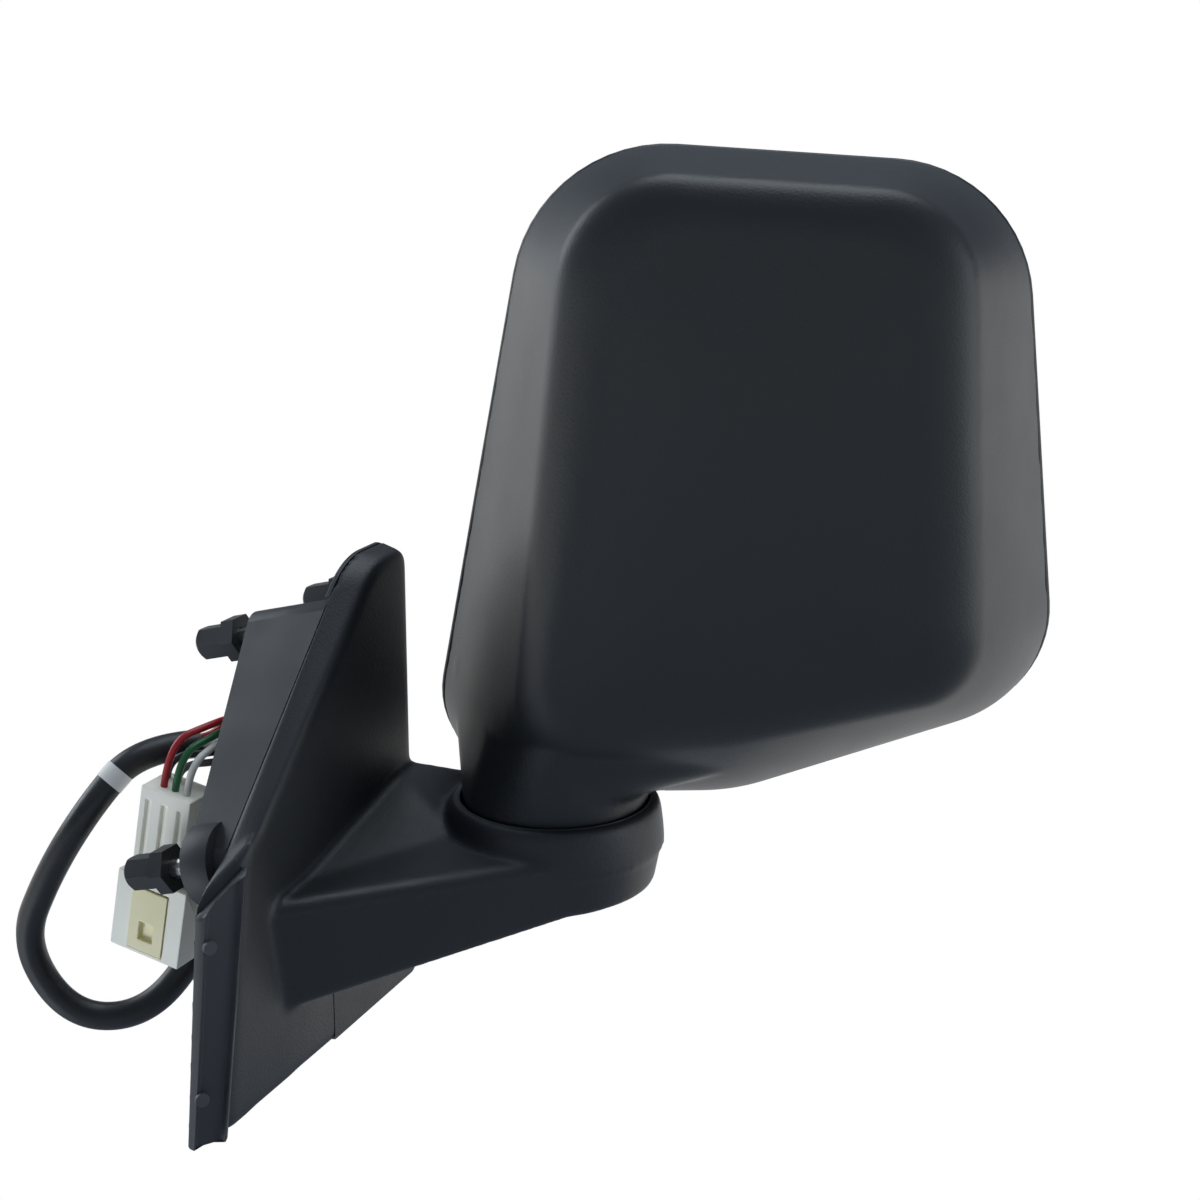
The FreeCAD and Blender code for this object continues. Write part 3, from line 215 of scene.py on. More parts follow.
CLIP_NYLON = Finish("grey_clip_nylon", "#3a3c40", "#494b50", 0.42, Texture.CLEAN,
                    grain_mm=0.8, relief_mm=0.01, mottle_mm=4.0)
ACETAL = Finish("white_acetal", "#dcdbd5", "#cfcec6", 0.35, Texture.CLEAN,
                grain_mm=0.9, relief_mm=0.01, mottle_mm=12.0)
DRIVE_PLASTIC = Finish("black_drive_plastic", "#202124", "#28292c", 0.48, Texture.MOULD_GRAIN,
                       grain_mm=0.8, relief_mm=0.03, mottle_mm=18.0)
MOTOR_CAN = Finish("drawn_motor_can", "#a3a4a5", "#8c8d8f", 0.3, Texture.DRAWN,
                   metallic=1.0, grain_mm=0.6, relief_mm=0.01, mottle_mm=7.0)
BRASS = Finish("cut_brass", "#c2a05a", "#a98744", 0.28, Texture.DRAWN,
               metallic=1.0, grain_mm=0.5, relief_mm=0.01, mottle_mm=5.0)
FOAM = Finish("black_pad_foam", "#1f2022", "#2c2d2f", 0.85, Texture.FOAM,
              grain_mm=1.0, relief_mm=0.12, mottle_mm=10.0)
# First-surface view of a silvered plate: nearly white and almost without blur.
SILVERED_GLASS = Finish("silvered_glass", "#e6e9ea", "#e2e6e8", 0.02, Texture.CLEAN,
                        metallic=1.0, grain_mm=60.0, relief_mm=0.0005, mottle_mm=90.0, scuff=0.008)
SLEEVE_PVC = Finish("black_pvc_sleeve", "#18191b", "#232427", 0.42, Texture.RUBBER,
                    grain_mm=1.4, relief_mm=0.06, mottle_mm=12.0, scuff=0.09)
UPPER_PBT = Finish("ivory_pbt", "#fdfbf0", "#f8f4e2", 0.38, Texture.CLEAN,
                   grain_mm=0.9, relief_mm=0.012, mottle_mm=14.0)
LOCK_PBT = Finish("cream_pbt", "#f8efc4", "#f2e6b0", 0.4, Texture.CLEAN,
                  grain_mm=0.9, relief_mm=0.012, mottle_mm=10.0)
TIN_PLATE = Finish("tin_plate", "#c8c8c2", "#b2b2ab", 0.28, Texture.DRAWN,
                   metallic=1.0, grain_mm=0.5, relief_mm=0.01, mottle_mm=4.0)


TAPE = Finish("white_cloth_tape", "#e9e8e4", "#dcdbd6", 0.6, Texture.RUBBER,
              grain_mm=0.7, relief_mm=0.03, mottle_mm=5.0)


def wire_finish(name: str, colour: str, shade: str) -> Finish:
    """A thin PVC insulation of one colour."""
    return Finish("pvc_wire_" + name, colour, shade, 0.38, Texture.RUBBER,
                  grain_mm=0.8, relief_mm=0.01, mottle_mm=6.0)


WIRE_FINISHES = {
    "red": wire_finish("red", "#b3202a", "#9c1a24"), "green": wire_finish("green", "#1f6a3c", "#185a32"),
    "white": wire_finish("white", "#dddcd6", "#cfcec6"), "grey": wire_finish("grey", "#6c6e72", "#5e6064"),
    "black": wire_finish("black", "#1b1c1e", "#242528")}


# ---------------------------------------------------------------- outlines worked out with numpy

def to_head(points: np.ndarray) -> np.ndarray:
    """Turn points in the head's own frame (mm) into the row frame: yawed about the pivot."""
    cos, sin = math.cos(HEAD_YAW), math.sin(HEAD_YAW)
    turn = np.array([[cos, -sin, 0.0], [sin, cos, 0.0], [0.0, 0.0, 1.0]])
    return points @ turn.T + PIVOT


def inset(points: np.ndarray, margin: float) -> np.ndarray:
    """Move every side of an anticlockwise outline inwards and meet the sides again.

    Each new corner is the old one moved along its two sides' normals: margin times the sum of the
    normals over one plus their dot product.

    Args:
        points: Corners, one row each.
        margin: How far to move; negative moves outwards.

    Returns:
        The moved corners.
    """
    ahead = np.roll(points, -1, axis=0) - points
    ahead /= np.linalg.norm(ahead, axis=1, keepdims=True)
    normal = np.stack([-ahead[:, 1], ahead[:, 0]], axis=1)
    before = np.roll(normal, 1, axis=0)
    share = 1.0 + np.sum(normal * before, axis=1, keepdims=True)
    return points + margin * (normal + before) / share


def rounded(points: np.ndarray, radii: np.ndarray, arc: int = 14, side: int = 14) -> np.ndarray:
    """Sample a closed outline whose corners are round.

    Each corner's arc runs from the point that is radius / tan(half angle) before the corner to the
    same distance after it, and evenly spaced points on the straight sides join the arcs.

    Args:
        points: Corners in order, one row each.
        radii: Radius at each corner.
        arc: Points on each arc.
        side: Points on each straight side, without its ends.

    Returns:
        The samples, in order.
    """
    back = np.roll(points, 1, axis=0) - points
    ahead = np.roll(points, -1, axis=0) - points
    back /= np.linalg.norm(back, axis=1, keepdims=True)
    ahead /= np.linalg.norm(ahead, axis=1, keepdims=True)
    half = np.arccos(np.clip(np.sum(back * ahead, axis=1), -1.0, 1.0)) / 2.0
    middle = back + ahead
    middle /= np.linalg.norm(middle, axis=1, keepdims=True)
    centre = points + middle * (radii / np.sin(half))[:, None]
    start = points + back * (radii / np.tan(half))[:, None]
    end = points + ahead * (radii / np.tan(half))[:, None]
    sweep = math.pi - 2.0 * half
    share = np.linspace(0.0, 1.0, arc)
    first, last = start - centre, end - centre
    weight_a = np.sin((1.0 - share)[None, :] * sweep[:, None]) / np.sin(sweep)[:, None]
    weight_b = np.sin(share[None, :] * sweep[:, None]) / np.sin(sweep)[:, None]
    arcs = centre[:, None] + first[:, None] * weight_a[..., None] + last[:, None] * weight_b[..., None]
    along = (np.arange(1, side + 1) / (side + 1.0))[None, :, None]
    following = np.roll(start, -1, axis=0)
    sides = end[:, None] + (following - end)[:, None] * along
    return np.concatenate([arcs, sides], axis=1).reshape(-1, 2)


def ellipse(count: int = 96) -> np.ndarray:
    """Unit circle points, one row each."""
    turn = np.linspace(0.0, 2.0 * math.pi, count, endpoint=False)
    return np.stack([np.cos(turn), np.sin(turn)], axis=1)


def belt(circles: list[tuple[float, float, float]], count: int = 240) -> np.ndarray:
    """Outline of a tight belt round circles.

    In each direction the belt lies on the circle whose centre . direction + radius is the greatest.

    Args:
        circles: Centre and radius of each circle.
        count: Number of directions.

    Returns:
        One point for each direction.
    """
    given = np.array(circles)
    unit = ellipse(count)
    best = np.argmax(unit @ given[:, :2].T + given[:, 2], axis=1)
    return given[best, :2] + given[best, 2][:, None] * unit


def ease(value: float | np.ndarray) -> float | np.ndarray:
    """Smooth step: 3 v^2 - 2 v^3 with v held between nought and one."""
    held = np.clip(value, 0.0, 1.0)
    return held * held * (3.0 - 2.0 * held)


# ---------------------------------------------------------------- meshes and objects

def mesh_object(name: str, verts: np.ndarray, faces: list[list[int]]) -> bpy.types.Object:
    """Make an object from vertices in millimetres and faces, with its normals pointing outwards."""
    mesh = bpy.data.meshes.new(name)
    mesh.from_pydata((verts * MM).tolist(), [], faces)
    work = bmesh.new()
    work.from_mesh(mesh)
    bmesh.ops.remove_doubles(work, verts=work.verts, dist=1e-7)
    bmesh.ops.recalc_face_normals(work, faces=work.faces)
    work.to_mesh(mesh)
    work.free()
    made = bpy.data.objects.new(name, mesh)
    bpy.context.scene.collection.objects.link(made)
    return made


def skin(name: str, rings: np.ndarray) -> bpy.types.Object:
    """Close a grid of rings into a solid skin, with a pole in the middle of each end ring.

    Args:
        name: Name of the object.
        rings: Array of ring, point and coordinate, in millimetres.

    Returns:
        The new object.
    """
    count, around = rings.shape[:2]
    poles = np.stack([rings[0].mean(axis=0), rings[-1].mean(axis=0)])
    verts = np.concatenate([rings.reshape(-1, 3), poles])
    row, col = np.meshgrid(np.arange(count - 1), np.arange(around), indexing="ij")
    here, there = row * around + col, row * around + (col + 1) % around
    quads = np.stack([here, there, there + around, here + around], axis=-1).reshape(-1, 4)
    edge = np.arange(around)
    first = np.stack([edge, np.full(around, count * around), (edge + 1) % around], axis=1)
    last_row = (count - 1) * around
    last = np.stack([last_row + edge, last_row + (edge + 1) % around,
                     np.full(around, count * around + 1)], axis=1)
    return mesh_object(name, verts, quads.tolist() + first.tolist() + last.tolist())


def loop_band(name: str, path: np.ndarray, profile: np.ndarray, side: np.ndarray,
              rise: np.ndarray) -> bpy.types.Object:
    """Carry a closed profile round a closed path: point + side * across + rise * up.

    Args:
        name: Name of the object.
        path: Points of the path.
        profile: Across and up values of the profile.
        side: Unit vector across at each path point.
        rise: Unit vector up at each path point.

    Returns:
        The new object.
    """
    grid = path[:, None] + side[:, None] * profile[None, :, :1] + rise[:, None] * profile[None, :, 1:]
    count, around = grid.shape[:2]
    row, col = np.meshgrid(np.arange(count), np.arange(around), indexing="ij")
    after, beside = (row + 1) % count, (col + 1) % around
    quads = np.stack([row * around + col, row * around + beside,
                      after * around + beside, after * around + col], axis=-1)
    return mesh_object(name, grid.reshape(-1, 3), quads.reshape(-1, 4).tolist())


def stack_of_rounds(name: str, profile: list[tuple[float, float]]) -> bpy.types.Object:
    """A closed skin of circles about the fold axis, from the radius and height of each."""
    unit = ellipse(144)
    rings = [np.column_stack([unit * radius + PIVOT[:2], np.full(len(unit), z)])
             for radius, z in profile]
    return skin(name, np.stack(rings))


def settle(piece: bpy.types.Object) -> None:
    """Write the piece's modifiers into its mesh."""
    bpy.context.view_layer.update()
    graph = bpy.context.evaluated_depsgraph_get()
    mesh = bpy.data.meshes.new_from_object(piece.evaluated_get(graph))
    piece.modifiers.clear()
    piece.data = mesh


def melt(name: str, parts: list[bpy.types.Object], cell_mm: float, passes: int) -> bpy.types.Object:
    """Join closed skins into one and soften where they meet, as a moulding's fillets are.

    Args:
        name: Name of the new piece.
        parts: The skins, which are used up.
        cell_mm: Size of the new mesh's cells.
        passes: Rounds of smoothing.

    Returns:
        The joined piece.
    """
    work = bmesh.new()
    for part in parts:
        work.from_mesh(part.data)
    mesh = bpy.data.meshes.new(name)
    work.to_mesh(mesh)
    work.free()
    made = bpy.data.objects.new(name, mesh)
    bpy.context.scene.collection.objects.link(made)
    discard(parts)
    cells = made.modifiers.new("cells", "REMESH")
    cells.mode = "VOXEL"
    cells.voxel_size = cell_mm * MM
    soft = made.modifiers.new("soft", "SMOOTH")
    soft.factor = 0.5
    soft.iterations = passes
    settle(made)
    return made


def discard(parts: list[bpy.types.Object]) -> None:
    """Remove helper objects and their meshes."""
    for part in parts:
        mesh = part.data
        bpy.data.objects.remove(part)
        bpy.data.meshes.remove(mesh)


def carve(piece: bpy.types.Object, tools: list[bpy.types.Object]) -> None:
    """Cut closed skins out of a piece, and use them up."""
    for tool in tools:
        cut = piece.modifiers.new("cut", "BOOLEAN")
        cut.operation = "DIFFERENCE"
        cut.solver = "MANIFOLD"
        cut.object = tool
    settle(piece)
    discard(tools)


def shade(piece: bpy.types.Object, angle: float = 35.0) -> None:
    """Smooth shading that keeps edges sharper than an angle in degrees."""
    mesh = piece.data
    mesh.polygons.foreach_set("use_smooth", np.ones(len(mesh.polygons), dtype=bool))
    work = bmesh.new()
    work.from_mesh(mesh)
    limit = math.radians(angle)
    for edge in work.edges:
        edge.smooth = len(edge.link_faces) == 2 and edge.calc_face_angle(0.0) < limit
    work.to_mesh(mesh)
    work.free()


def finish_piece(piece: bpy.types.Object, body: str, finish: Finish,
                 replaced: tuple[str, ...] = ()) -> None:
    """Dress a new piece, tie it to its body, and say which CAD nodes it stands for."""
    piece.data.materials.clear()
    piece.data.materials.append(finish.material())
    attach(piece, body)
    if replaced:
        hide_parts(*replaced)
    LOG.info("%s rides on %s and stands for %s", piece.name, body, ", ".join(replaced) or "nothing")


def dress_node(frame: dict, name: str, finish: Finish, edge_mm: float = 0.0) -> None:
    """Give a CAD node its material and, where wanted, rounded edges."""
    item = frame["nodes"][name]
    if not item.material_slots:
        item.data.materials.append(finish.material())
    for place in item.material_slots:
        place.material = finish.material()
    if edge_mm > 0.0:
        joined = item.modifiers.new("joined", "WELD")
        joined.merge_threshold = 1e-6
        edges = item.modifiers.new("edges", "BEVEL")
        edges.width = edge_mm * MM
        edges.segments = 2
        edges.limit_method = "ANGLE"
        edges.angle_limit = math.radians(35.0)
        edges.use_clamp_overlap = True
    LOG.info("%s is dressed in %s", name, finish.name)


# ---------------------------------------------------------------- head

def put_on_head(piece: bpy.types.Object) -> None:
    """Turn a piece made in the head's own frame into the row frame."""
    points = np.array([vert.co[:] for vert in piece.data.vertices]) / MM
    piece.data.vertices.foreach_set("co", (to_head(points) * MM).ravel())


@dataclass
class HeadShell:
    """The folding head's outer moulding with its neck and glass-side lip."""

    frame: dict
    mouth: np.ndarray = field(default_factory=lambda: np.array(
        [(-43.0, -3.0), (52.0, -4.5), (149.0, 28.5), (133.0, 184.0), (-7.0, 192.0)]))
    mouth_radii: np.ndarray = field(default_factory=lambda: np.array([26.0, 60.0, 34.0, 43.0, 46.0]))
    nose: np.ndarray = field(default_factory=lambda: np.array(
        [(-6.0, 29.0), (55.0, 36.0), (120.0, 47.0), (114.0, 183.0), (9.0, 189.0)]))
    nose_radii: np.ndarray = field(default_factory=lambda: np.array([15.0, 60.0, 19.0, 27.0, 30.0]))
    front: float = -38.0
    rear: float = 28.0
    wall: float = 2.5
    crease: tuple[float, float] = (6.5, 8.5)
    spread: float = 9.0
    crown: float = 2.6
    belly: tuple[float, float, float] = (11.0, 8.0, 2.0)
    neck_radius: float = 27.7
    neck_top: float = 34.0
    outboard_run: float = 58.0
    inboard_run: tuple[float, float] = (-27.0, 21.0)
    ahead_run: tuple[float, float] = (5.0, -26.0)
    over_turret: tuple[float, float] = (34.0, 0.4)

    def ring(self, y: float, inwards: float, softer: float = 0.0) -> np.ndarray:
        """The rounded outline at a depth, part of the way from the nose to the mouth.

        Between them the bottom corners hang lower, by a sine of the depth to the power 0.7.
        Away from the lower inboard corner the outline moves further in: by softer times one minus
        the exponential of minus the squared distance from that corner over 60 mm.
        """
        share = (y - self.front) / (self.rear - self.front)
        points = self.nose + (self.mouth - self.nose) * share
        points[:3, 1] -= np.array(self.belly) * math.sin(math.pi * min(share, 1.0)) ** 0.7
        radii = self.nose_radii + (self.mouth_radii - self.nose_radii) * share
        tight = rounded(inset(points, inwards), np.maximum(radii - inwards, 2.0))
        loose = rounded(inset(points, inwards + softer), np.maximum(radii - inwards * 0.6, 2.0))
        off = np.linalg.norm(tight - self.nose[0], axis=1) / 60.0
        far = (1.0 - np.exp(-off ** 2))[:, None] if softer > 0.0 else 0.0
        flat = tight + (loose - tight) * far
        return np.stack([flat[:, 0], np.full(len(flat), y), flat[:, 1]], axis=1)

    def solid(self, name: str, margin: float, rear: float) -> bpy.types.Object:
        """A closed skin: crowned nose, soft crease, gently bowed walls, flat back.

        The crown is crown * (1 - s^2) for a ring scaled by s; the crease is a quarter ellipse; the
        walls bow outwards by a half sine wave.
        """
        deep, across = self.crease[1], self.crease[0] - margin
        front = self.front + margin
        base = self.ring(front, margin + across, self.spread)
        middle = base.mean(axis=0)
        scale = np.linspace(0.06, 1.0, 14)[:, None, None]
        nose = middle + (base - middle)[None] * scale
        nose[..., 1] = front - (self.crown * (1.0 - scale[..., 0] ** 2))
        rings = list(nose)
        for turn in np.linspace(0.0, math.pi / 2.0, 13)[1:]:
            left = 1.0 - math.sin(turn)
            rings.append(self.ring(front + deep * (1.0 - math.cos(turn)), margin + across * left,
                                   self.spread * left))
        for share in np.linspace(0.0, 1.0, 16)[1:]:
            y = front + deep + (rear - front - deep) * share
            rings.append(self.ring(y, margin - 1.3 * math.sin(math.pi * share)))
        return skin(name, to_head(np.stack(rings)))

    def neck(self, name: str, low: float) -> bpy.types.Object:
        """Round at the seam, and a belt round four spreading circles above it."""
        rings = []
        for z in np.linspace(low, self.neck_top, 26):
            share = max(z / self.neck_top, 0.0)
            early = 1.0 - (1.0 - share) ** 2
            round_part = (0.0, 0.0, self.neck_radius - 9.0 * share)
            outboard = (7.7 + min(max(z - 4.0, 0.0) / 0.3, self.outboard_run), 4.0 * share, 20.0)
            inboard = (self.inboard_run[0] * early, self.inboard_run[1] * early,
                       self.neck_radius - 21.7 * early)
            ahead = (self.ahead_run[0] * share, self.ahead_run[1] * share,
                     self.neck_radius - 20.7 * share)
            flat = belt([round_part, outboard, inboard, ahead], 144)
            rings.append(np.column_stack([flat, np.full(len(flat), z)]))
        return skin(name, to_head(np.stack(rings)))

    def lip(self) -> None:
        """A half-round bead along the edge of the glass side."""
        path = self.ring(self.rear, 1.25)
        ahead = np.roll(path, -1, axis=0) - np.roll(path, 1, axis=0)
        ahead /= np.linalg.norm(ahead, axis=1, keepdims=True)
        side = np.stack([ahead[:, 2], np.zeros(len(path)), -ahead[:, 0]], axis=1)
        rise = np.tile([0.0, 1.0, 0.0], (len(path), 1))
        profile = ellipse(16) * np.array([1.45, 1.5])
        bead = loop_band("head_lip", path, profile, side, rise)
        put_on_head(bead)
        shade(bead)
        finish_piece(bead, "head", GRAINED_ABS)

    def turret_room(self) -> bpy.types.Object:
        """A ring-shaped cutter that keeps the underside clear of the raised ring on the arm."""
        path = np.column_stack([ellipse(144), np.zeros(144)])
        outer, high = self.over_turret
        profile = np.array([(27.9, -8.0), (outer, -8.0), (outer, high), (27.9, high)])
        rise = np.tile([0.0, 0.0, 1.0], (len(path), 1))
        room = loop_band("turret_room", np.zeros_like(path), profile, path, rise)
        put_on_head(room)
        return room

    def build(self) -> None:
        """Make the head's pieces."""
        outer = self.solid("head_outer", 0.0, self.rear)
        neck = self.neck("neck_outer", -3.0)
        shell = melt("head_shell", [outer, neck], 1.25, 12)
        cavity = self.solid("head_cavity", self.wall, self.rear + 8.0)
        unit = ellipse()
        bore = [np.column_stack([unit * radius, np.full(len(unit), z)])
                for radius, z in ((25.2, -8.0), (25.2, 2.2), (17.0, 2.3), (17.0, 24.0))]
        carve(shell, [cavity, skin("neck_bore", to_head(np.stack(bore))), self.turret_room()])
        shade(shell, 40.0)
        finish_piece(shell, "head", GRAINED_ABS, ("head_housing",))
        self.lip()


# ---------------------------------------------------------------- sail and arm

@dataclass
class SailAndArm:
    """The fixed moulding: a flaring sail plate, the arm, and the ring round the neck."""

    frame: dict
    rim: np.ndarray = field(default_factory=lambda: np.array(
        [(51.0, -84.0), (51.0, 57.0), (27.0, 57.0), (-44.0, -13.0), (-57.7, -20.7), (-66.7, -89.4)]))
    face: np.ndarray = field(default_factory=lambda: np.array(
        [(50.0, -82.5), (50.0, 55.0), (32.0, 55.0), (-36.0, -5.0), (-42.4, -8.0), (-58.0, -88.0)]))
    radii: np.ndarray = field(default_factory=lambda: np.array([4.0, 5.0, 24.0, 14.0, 12.0, 4.0]))
    rim_x: float = 17.0
    face_x: float = 25.0
    wall: float = 3.0
    edge: float = 2.2
    arm_top: float = -23.0
    root_bottom: float = -65.5
    underside: tuple = ((25.0, 70.0, 115.0), (-65.5, -45.0, -41.0))
    root_flare: float = 5.0
    corner: tuple = ((-0.5, -120.0), (70.0, -120.0), (70.0, -66.0), (-0.5, -66.0))
    end_radius: float = 33.0
    sweep: float = 16.0
    crest: float = 11.0
    front_fall: float = 0.125
    edges: tuple[float, float] = (4.0, 2.5)

    def sail(self, name: str, margin: float, inboard: float, outboard: float) -> bpy.types.Object:
        """A closed skin between two upright outlines, with the outboard edge rounded over."""
        rings = []
        edge = max(self.edge - margin, 0.0)
        steps = [(0.0, 0.0), (0.5, 0.0), (1.0, 0.0)]
        for turn in np.linspace(0.0, math.pi / 2.0, 6)[1:]:
            steps.append((1.0 + 0.2 * math.sin(turn), edge * (1.0 - math.cos(turn))))
        widest = steps[-1][0]
        for along, inwards in steps:
            share = along / widest
            points = self.rim + (self.face - self.rim) * share
            flat = rounded(inset(points, margin + inwards), np.maximum(self.radii - margin - inwards, 1.0))
            x = np.full(len(flat), inboard + (outboard - inboard) * share)
            rings.append(np.column_stack([x, flat]))
        return skin(name, np.stack(rings))

    def plan(self, margin: float, level: float) -> np.ndarray:
        """Outline of the arm from above: a belt round two small circles and the large end one."""
        share = (self.arm_top - level) / (self.arm_top - self.root_bottom)
        narrow = 6.0 * share + margin
        return belt([(20.0, -28.0 + 14.0 * share + margin, 3.0),
                     (PIVOT[0], PIVOT[1], self.end_radius - narrow),
                     (20.0, 47.0 - narrow, 3.0)])

    def arm(self, name: str, margin: float) -> bpy.types.Object:
        """The arm as rings from its sloping underside to its top, which sweeps up to the sail.

        The top slopes down to the front. Near the sail it rises along a quarter circle, whose
        height grows from nothing at the front edge. The underside rises in two straight
        stretches, and the front swells near the sail as the exponential of the distance.
        """
        rings = []
        turns = np.linspace(0.0, math.pi / 2.0, 7)
        for turn, upper in [(t, False) for t in turns] + [(t, True) for t in turns[::-1]]:
            edge = self.edges[0] if upper else self.edges[1]
            level = self.arm_top - (2.0 if upper else 20.0)
            flat = self.plan(margin + edge * (1.0 - math.sin(turn)), level)
            near = np.exp(-np.clip(flat[:, 0] - self.face_x, 0.0, None) / 6.0)
            flat[:, 1] -= self.root_flare * near * (flat[:, 1] < 10.0)
            away = np.clip(1.0 - (flat[:, 0] - self.face_x) / self.sweep, 0.0, 1.0)
            crest = self.crest * ease((flat[:, 1] + 27.0) / 42.0) * (1.0 - np.sqrt(1.0 - away ** 2))
            slope = self.front_fall * np.clip(28.0 - flat[:, 1], 0.0, None)
            top = self.arm_top + 0.5 - slope + crest - margin
            low = np.interp(flat[:, 0], self.underside[0], self.underside[1]) + margin
            bend = edge * (1.0 - math.cos(turn))
            rings.append(np.column_stack([flat, top - bend if upper else low + bend]))
        return skin(name, np.stack(rings))

    def turret(self) -> bpy.types.Object:
        """The raised ring at the arm's end, rounded on its top edge."""
        profile = [(33.0, -30.0), (32.6, -24.0), (31.9, -18.5), (31.4, -16.6), (30.6, -15.7), (29.6, -15.4)]
        return stack_of_rounds("turret", profile)

    def corner_cut(self) -> bpy.types.Object:
        """The lower rear corner, which is a piece of its own behind a thin split line."""
        flat = np.array(self.corner)
        sides = (self.rim_x - 3.0, self.face_x + 3.0)
        rings = [np.column_stack([np.full(len(flat), x), flat]) for x in sides]
        return skin("corner_cut", np.stack(rings))

    def drum(self, name: str, radius: float, low: float, high: float) -> bpy.types.Object:
        """A plain round cutter about the fold axis."""
        return stack_of_rounds(name, [(radius, low), (radius, high)])

    def build(self) -> None:
        """Make the moulding, and dress the pieces that close it."""
        parts = [self.sail("sail_outer", 0.0, self.rim_x, self.face_x),
                 self.arm("arm_outer", 0.0), self.turret()]
        shell = melt("sail_and_arm", parts, 1.15, 8)
        tools = [self.sail("sail_inner", self.wall, self.rim_x - 3.0, self.face_x - self.wall),
                 self.drum("well", 29.2, -20.0, 10.0), self.drum("seat_hole", 18.3, -60.0, 0.0),
                 self.corner_cut()]
        carve(shell, tools)
        shade(shell, 40.0)
        finish_piece(shell, "base", SAIL_ABS, ("base_cover",))
        dress_node(self.frame, "corner_panel", SAIL_ABS, 0.5)
        dress_node(self.frame, "arm_bottom_cover", SAIL_ABS, 0.4)


# ---------------------------------------------------------------- edge channel

@dataclass
class EdgeChannel:
    """The rubber channel down the sail's front lower edge, with a rib along each side."""

    frame: dict
    rim_top: tuple[float, float, float] = (17.0, -57.7, -20.7)
    rim_toe: tuple[float, float, float] = (17.0, -66.7, -89.4)
    face_top: tuple[float, float, float] = (25.0, -42.4, -8.0)
    face_toe: tuple[float, float, float] = (25.0, -58.0, -88.0)

    def build(self) -> None:
        """Carry the ribbed profile down the band between the two edges of the sail."""
        share = np.linspace(0.06, 1.0, 60)[:, None]
        rim = np.array(self.rim_top) + (np.array(self.rim_toe) - np.array(self.rim_top)) * share
        face = np.array(self.face_top) + (np.array(self.face_toe) - np.array(self.face_top)) * share
        across = face - rim
        width = np.linalg.norm(across, axis=1, keepdims=True)
        across /= width
        normal = np.cross(across, [0.0, 0.0, 1.0])
        normal /= np.linalg.norm(normal, axis=1, keepdims=True)
        place = np.linspace(0.05, 0.97, 40)
        ribs = 1.5 * np.exp(-((place - 0.13) / 0.05) ** 2) + 1.7 * np.exp(-((place - 0.86) / 0.06) ** 2)
        edge = np.minimum(1.0, np.minimum(place - 0.03, 0.99 - place) / 0.05)
        height = (2.0 * np.sqrt(np.clip(edge, 0.0, 1.0)) + ribs)[None, :, None]
        top = rim[:, None] + across[:, None] * (width * place)[..., None] + normal[:, None] * height
        under = rim[:, None] + across[:, None] * (width * place[::-1])[..., None] + normal[:, None] * 0.1
        band = skin("edge_channel", np.concatenate([top, under], axis=1))
        shade(band, 50.0)
        finish_piece(band, "base", EPDM, ("door_edge_seal",))
        dress_node(self.frame, "edge_seal_clips", CLIP_NYLON, 0.3)


# ---------------------------------------------------------------- harness

